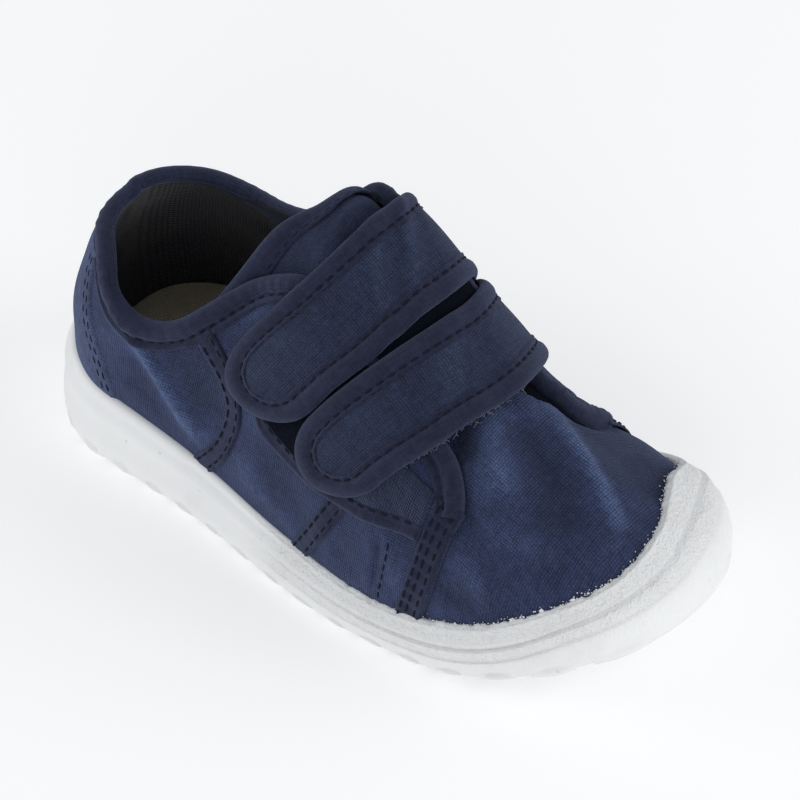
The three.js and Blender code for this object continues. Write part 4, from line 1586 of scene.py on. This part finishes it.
def rubber_seat(outline, out, top, tips):
    """Where the rim's top lies on the canvas, the normals there, and the way down the canvas."""
    seat, normal = meet_last(last_tree(), outline + out * 4, -out, top)
    for tip in tips:
        seat[tip] = (seat[tip - 1] + seat[tip + 1]) / 2
        normal[tip] = normal[tip - 1] + normal[tip + 1]
    for _ in range(4):
        seat = (np.roll(seat, 1, 0) + 2 * seat + np.roll(seat, -1, 0)) / 4
        normal = unit(np.roll(normal, 1, 0) + 2 * normal + np.roll(normal, -1, 0))
    return seat, normal, unit(np.cross(normal, np.cross(np.array([0.0, 0.0, -1.0]), normal)))


def ring_place(share, lower, upper):
    """How far up the rim a ring lies, where the steps are at their own places round the shoe."""
    if share < LOWER_STEP:
        return share / LOWER_STEP * lower
    if share > UPPER_STEP:
        return upper + (share - UPPER_STEP) / (1 - UPPER_STEP) * (1 - upper)
    return lower + (share - LOWER_STEP) / (UPPER_STEP - LOWER_STEP) * (upper - lower)


def close_ring(ring, first, start, turned):
    """Points and faces in rows across the sole that close one of its rings. "first" is where the
    ring's points begin in the piece, and "start" where the new ones do."""
    count = len(ring)
    near = np.arange(1, count // 2)
    share = np.linspace(0, 1, ACROSS_STEPS + 2)[None, 1:-1, None]
    points = ring[near][:, None] * (1 - share) + ring[count - near][:, None] * share
    index = start + np.arange(len(near) * ACROSS_STEPS).reshape(len(near), ACROSS_STEPS)
    grid = np.concatenate([first + near[:, None], index, first + count - near[:, None]], 1)
    corners = (grid[:-1, :-1], grid[1:, :-1], grid[1:, 1:], grid[:-1, 1:])
    faces = np.stack(corners, -1).reshape(-1, 4)[:, :: -1 if turned else 1].tolist()
    for row, tip, at_toe in ((grid[0], first, False), (grid[-1], first + count // 2, True)):
        fan = np.stack([np.full(len(row) - 1, tip), row[:-1], row[1:]], -1)
        faces += fan[:, :: -1 if turned != at_toe else 1].tolist()
    return points.reshape(-1, 3), faces


def cup_sole():
    """The sole as rings: up the outside of the rim, over its lip and down to the cup's floor."""
    stations = sole_stations()
    along = np.concatenate([stations, stations[-2:0:-1]])
    inner = np.arange(len(along)) >= len(stations)
    x, middle, half = cross_line(along, 0)
    y = middle + np.where(inner, half, -half) + SHIFT
    step_x, step_y = np.roll(x, -1) - np.roll(x, 1), np.roll(y, -1) - np.roll(y, 1)
    out = np.stack([step_y, -step_x], -1) / np.hypot(step_x, step_y)[:, None]
    outline = np.stack([x, y], -1)

    cap_along = along + np.where(inner, CAP_LEAD * smooth((along - 0.6) / 0.2), 0)
    low = np.maximum(under_curve(along), 0)
    top = rim_height(round_turn(np.where(inner, 2 - along, along)))
    heel = 1 - smooth((along - HEEL_PART) / HEEL_DROP)
    lower, upper = lower_step(cap_along), upper_step(cap_along)
    lower_depth, upper_depth = smooth((cap_along - 0.62) / 0.25), smooth((along - 0.45) / 0.4)
    spreading = spread(along) * np.where(inner, 0.6, 1.0)
    cut = groove_depth(x)
    centres = groove_centres()
    lug = np.clip(0.25 - np.cos(2 * np.pi * (x - centres[0]) / (centres[1] - centres[0])), 0, 1)
    fibrous = smooth((along - 0.40) / 0.15)

    seat, normal, down = rubber_seat(outline, out, top, (0, len(stations) - 1))
    reach = ((outline - seat[:, :2]) * out).sum(1) - RIM_THICK * (normal[:, :2] * out).sum(1)
    drawn_in = np.clip((reach - wall_drawn(1.0)) / wall_cap(1.0), 0, 2)
    length = np.hypot(*np.diff(outline, axis=0, prepend=outline[:1]).T).cumsum()
    ragged = sum(np.sin(length * rate + rate * 7) for rate in (0.83, 1.37, 2.11, 3.05))
    ragged = 0.11 * ragged * smooth((along - 0.5) / 0.2)

    rings, roughness = [], []
    for share, step, rough, knob in zip(*RINGS.values()):
        moved = ring_place(share, lower, upper)
        ledge = step * (lower_depth if share < BETWEEN_STEPS else upper_depth)
        inset = wall_drawn(moved) + wall_cap(moved) * drawn_in + ledge
        inset = inset - spreading * (1 - smooth((share - 0.15) / 0.75))
        inset = inset - LUG_REACH * knob * lug - 0.5 * heel * smooth((share - 0.55) / 0.3)
        inset = np.maximum(inset, 0.02 - spreading)
        z = low + moved * (top - low)
        if share < TREAD_SHARE:
            z = z + cut * (1 - share / TREAD_SHARE)
            inset = inset + (cut > GROOVE_DEPTH / 2) * 0.5
        wall = np.concatenate([outline - out * inset[:, None], z[:, None]], 1)
        near = smooth((moved - 0.80) / 0.17)[:, None]
        close = seat + normal * (RIM_THICK + HEEL_PROUD * heel - ledge)[:, None]
        close = close + down * ((1 - moved) * (top - low))[:, None]
        rings.append(wall * (1 - near) + close * near)
        roughness.append(fibrous * rough)
    for away, over in LIP:
        over = over + 0.35 * heel + (ragged if over > 0.2 else 0)
        away = away * (1 + 0.4 * heel * (away > 0))
        rings.append(seat + normal * np.reshape(away, (-1, 1)) - down * over[:, None])
        roughness.append(fibrous * 0.6)
    for inset, height in CUP_FLOOR:
        z = footbed(along) + height
        rings.append(np.concatenate([outline - out * inset, z[:, None]], 1))
        roughness.append(np.zeros(len(along)))

    # the tread and the cup's floor close the form
    faces = [face[::-1] for face in ring_faces(len(rings), len(along), caps=False)]
    points = np.concatenate(rings)
    for level, turned in ((0, False), (len(rings) - 1, True)):
        more, more_faces = close_ring(rings[level], level * len(along), len(points), turned)
        points = np.concatenate([points, more])
        faces += more_faces
        roughness.append(np.zeros(len(more)))
    wear_shading_fibre = np.concatenate(roughness)
    piece = make_mesh("cup_sole", points, faces, points[:, :2], wear_shading_fibre, (rubber_white,))
    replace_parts(piece, "sole")
    rubber_flakes(along, seat, normal, down)


# ---------------------------------------------------------------- build the shoe

quarters()
vamp()
tongue()
collar_binding()
lining_roll()
throat_gusset_shade()
side_tapes()
heel_strip()
loop_patch()
straps()
frayed_hook_tape()
insole()
cup_sole()

# ---------------------------------------------------------------- camera, floor and light

CAMERA_AZIMUTH = math.radians(43)
CAMERA_HEIGHT = math.radians(40)
CAMERA_ROLL = math.radians(-2.2)
CAMERA_DISTANCE = 0.9
FOCAL_LENGTH = 190.35
LOOK_HEIGHT = 0.025
LOOK_RIGHT = 0.00468
LOOK_UP = 0.00213
# Each softbox's place in metres and its power in watts.
SOFTBOXES = {
    "left_softbox": ((-0.95, -0.60, 0.35), 3.2),
    "front_softbox": ((0.70, -0.90, 0.30), 3.0),
    "right_softbox": ((0.80, 0.50, 0.35), 3.5),
}
SOFTBOX_SIZE = 0.8
FLOOR_REACH = 6.0
FLOOR_GLOW = 0.32
SKY_LIGHT = 0.60


def add_camera():
    low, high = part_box("sole")
    look = Vector(((low.x + high.x) / 2, SHIFT * MM, LOOK_HEIGHT))
    flat = math.cos(CAMERA_HEIGHT)
    back = Vector(
        (math.sin(CAMERA_AZIMUTH) * flat, -math.cos(CAMERA_AZIMUTH) * flat, math.sin(CAMERA_HEIGHT))
    )
    level = Vector((math.cos(CAMERA_AZIMUTH), math.sin(CAMERA_AZIMUTH), 0))
    steep = back.cross(level)
    right = level * math.cos(CAMERA_ROLL) + steep * math.sin(CAMERA_ROLL)
    up = steep * math.cos(CAMERA_ROLL) - level * math.sin(CAMERA_ROLL)
    data = bpy.data.cameras.new("camera")
    data.lens = FOCAL_LENGTH
    data.sensor_width = 36
    data.clip_start, data.clip_end = 0.05, 20
    camera = bpy.data.objects.new("camera", data)
    bpy.context.scene.collection.objects.link(camera)
    camera.matrix_world = Matrix.Translation(
        look + right * LOOK_RIGHT + up * LOOK_UP + back * CAMERA_DISTANCE
    ) @ Matrix((right, up, back)).transposed().to_4x4()
    bpy.context.scene.camera = camera


def add_light(name, place, power):
    data = bpy.data.lights.new(name, "AREA")
    data.shape = "DISK"
    data.energy, data.size = power, SOFTBOX_SIZE
    light = bpy.data.objects.new(name, data)
    bpy.context.scene.collection.objects.link(light)
    light.location = place
    light.rotation_mode = "QUATERNION"
    light.rotation_quaternion = (Vector(place) - Vector((0, 0, 0.03))).to_track_quat("Z", "Y")


def add_floor():
    finish = Finish(
        "pale_floor",
        0.95,
        Base_Color=(0.80, 0.80, 0.80, 1),
        Specular_IOR_Level=0.0,
        Emission_Color=(1, 1, 1, 1),
        Emission_Strength=FLOOR_GLOW,
    )
    mesh = bpy.data.meshes.new("floor")
    corners = [(x * FLOOR_REACH, y * FLOOR_REACH, 0) for x, y in ((-1, -1), (1, -1), (1, 1), (-1, 1))]
    mesh.from_pydata(corners, [], [(0, 1, 2, 3)])
    mesh.materials.append(finish.material)
    floor = bpy.data.objects.new("floor", mesh)
    bpy.context.scene.collection.objects.link(floor)


def add_sky():
    world = bpy.data.worlds.new("studio")
    world.use_nodes = True
    background = world.node_tree.nodes["Background"]
    background.inputs["Color"].default_value = (0.95, 0.97, 1.0, 1)
    background.inputs["Strength"].default_value = SKY_LIGHT
    bpy.context.scene.world = world


add_camera()
add_floor()
add_sky()
for name, (place, power) in SOFTBOXES.items():
    add_light(name, place, power)
bpy.context.scene.view_settings.view_transform = "Standard"
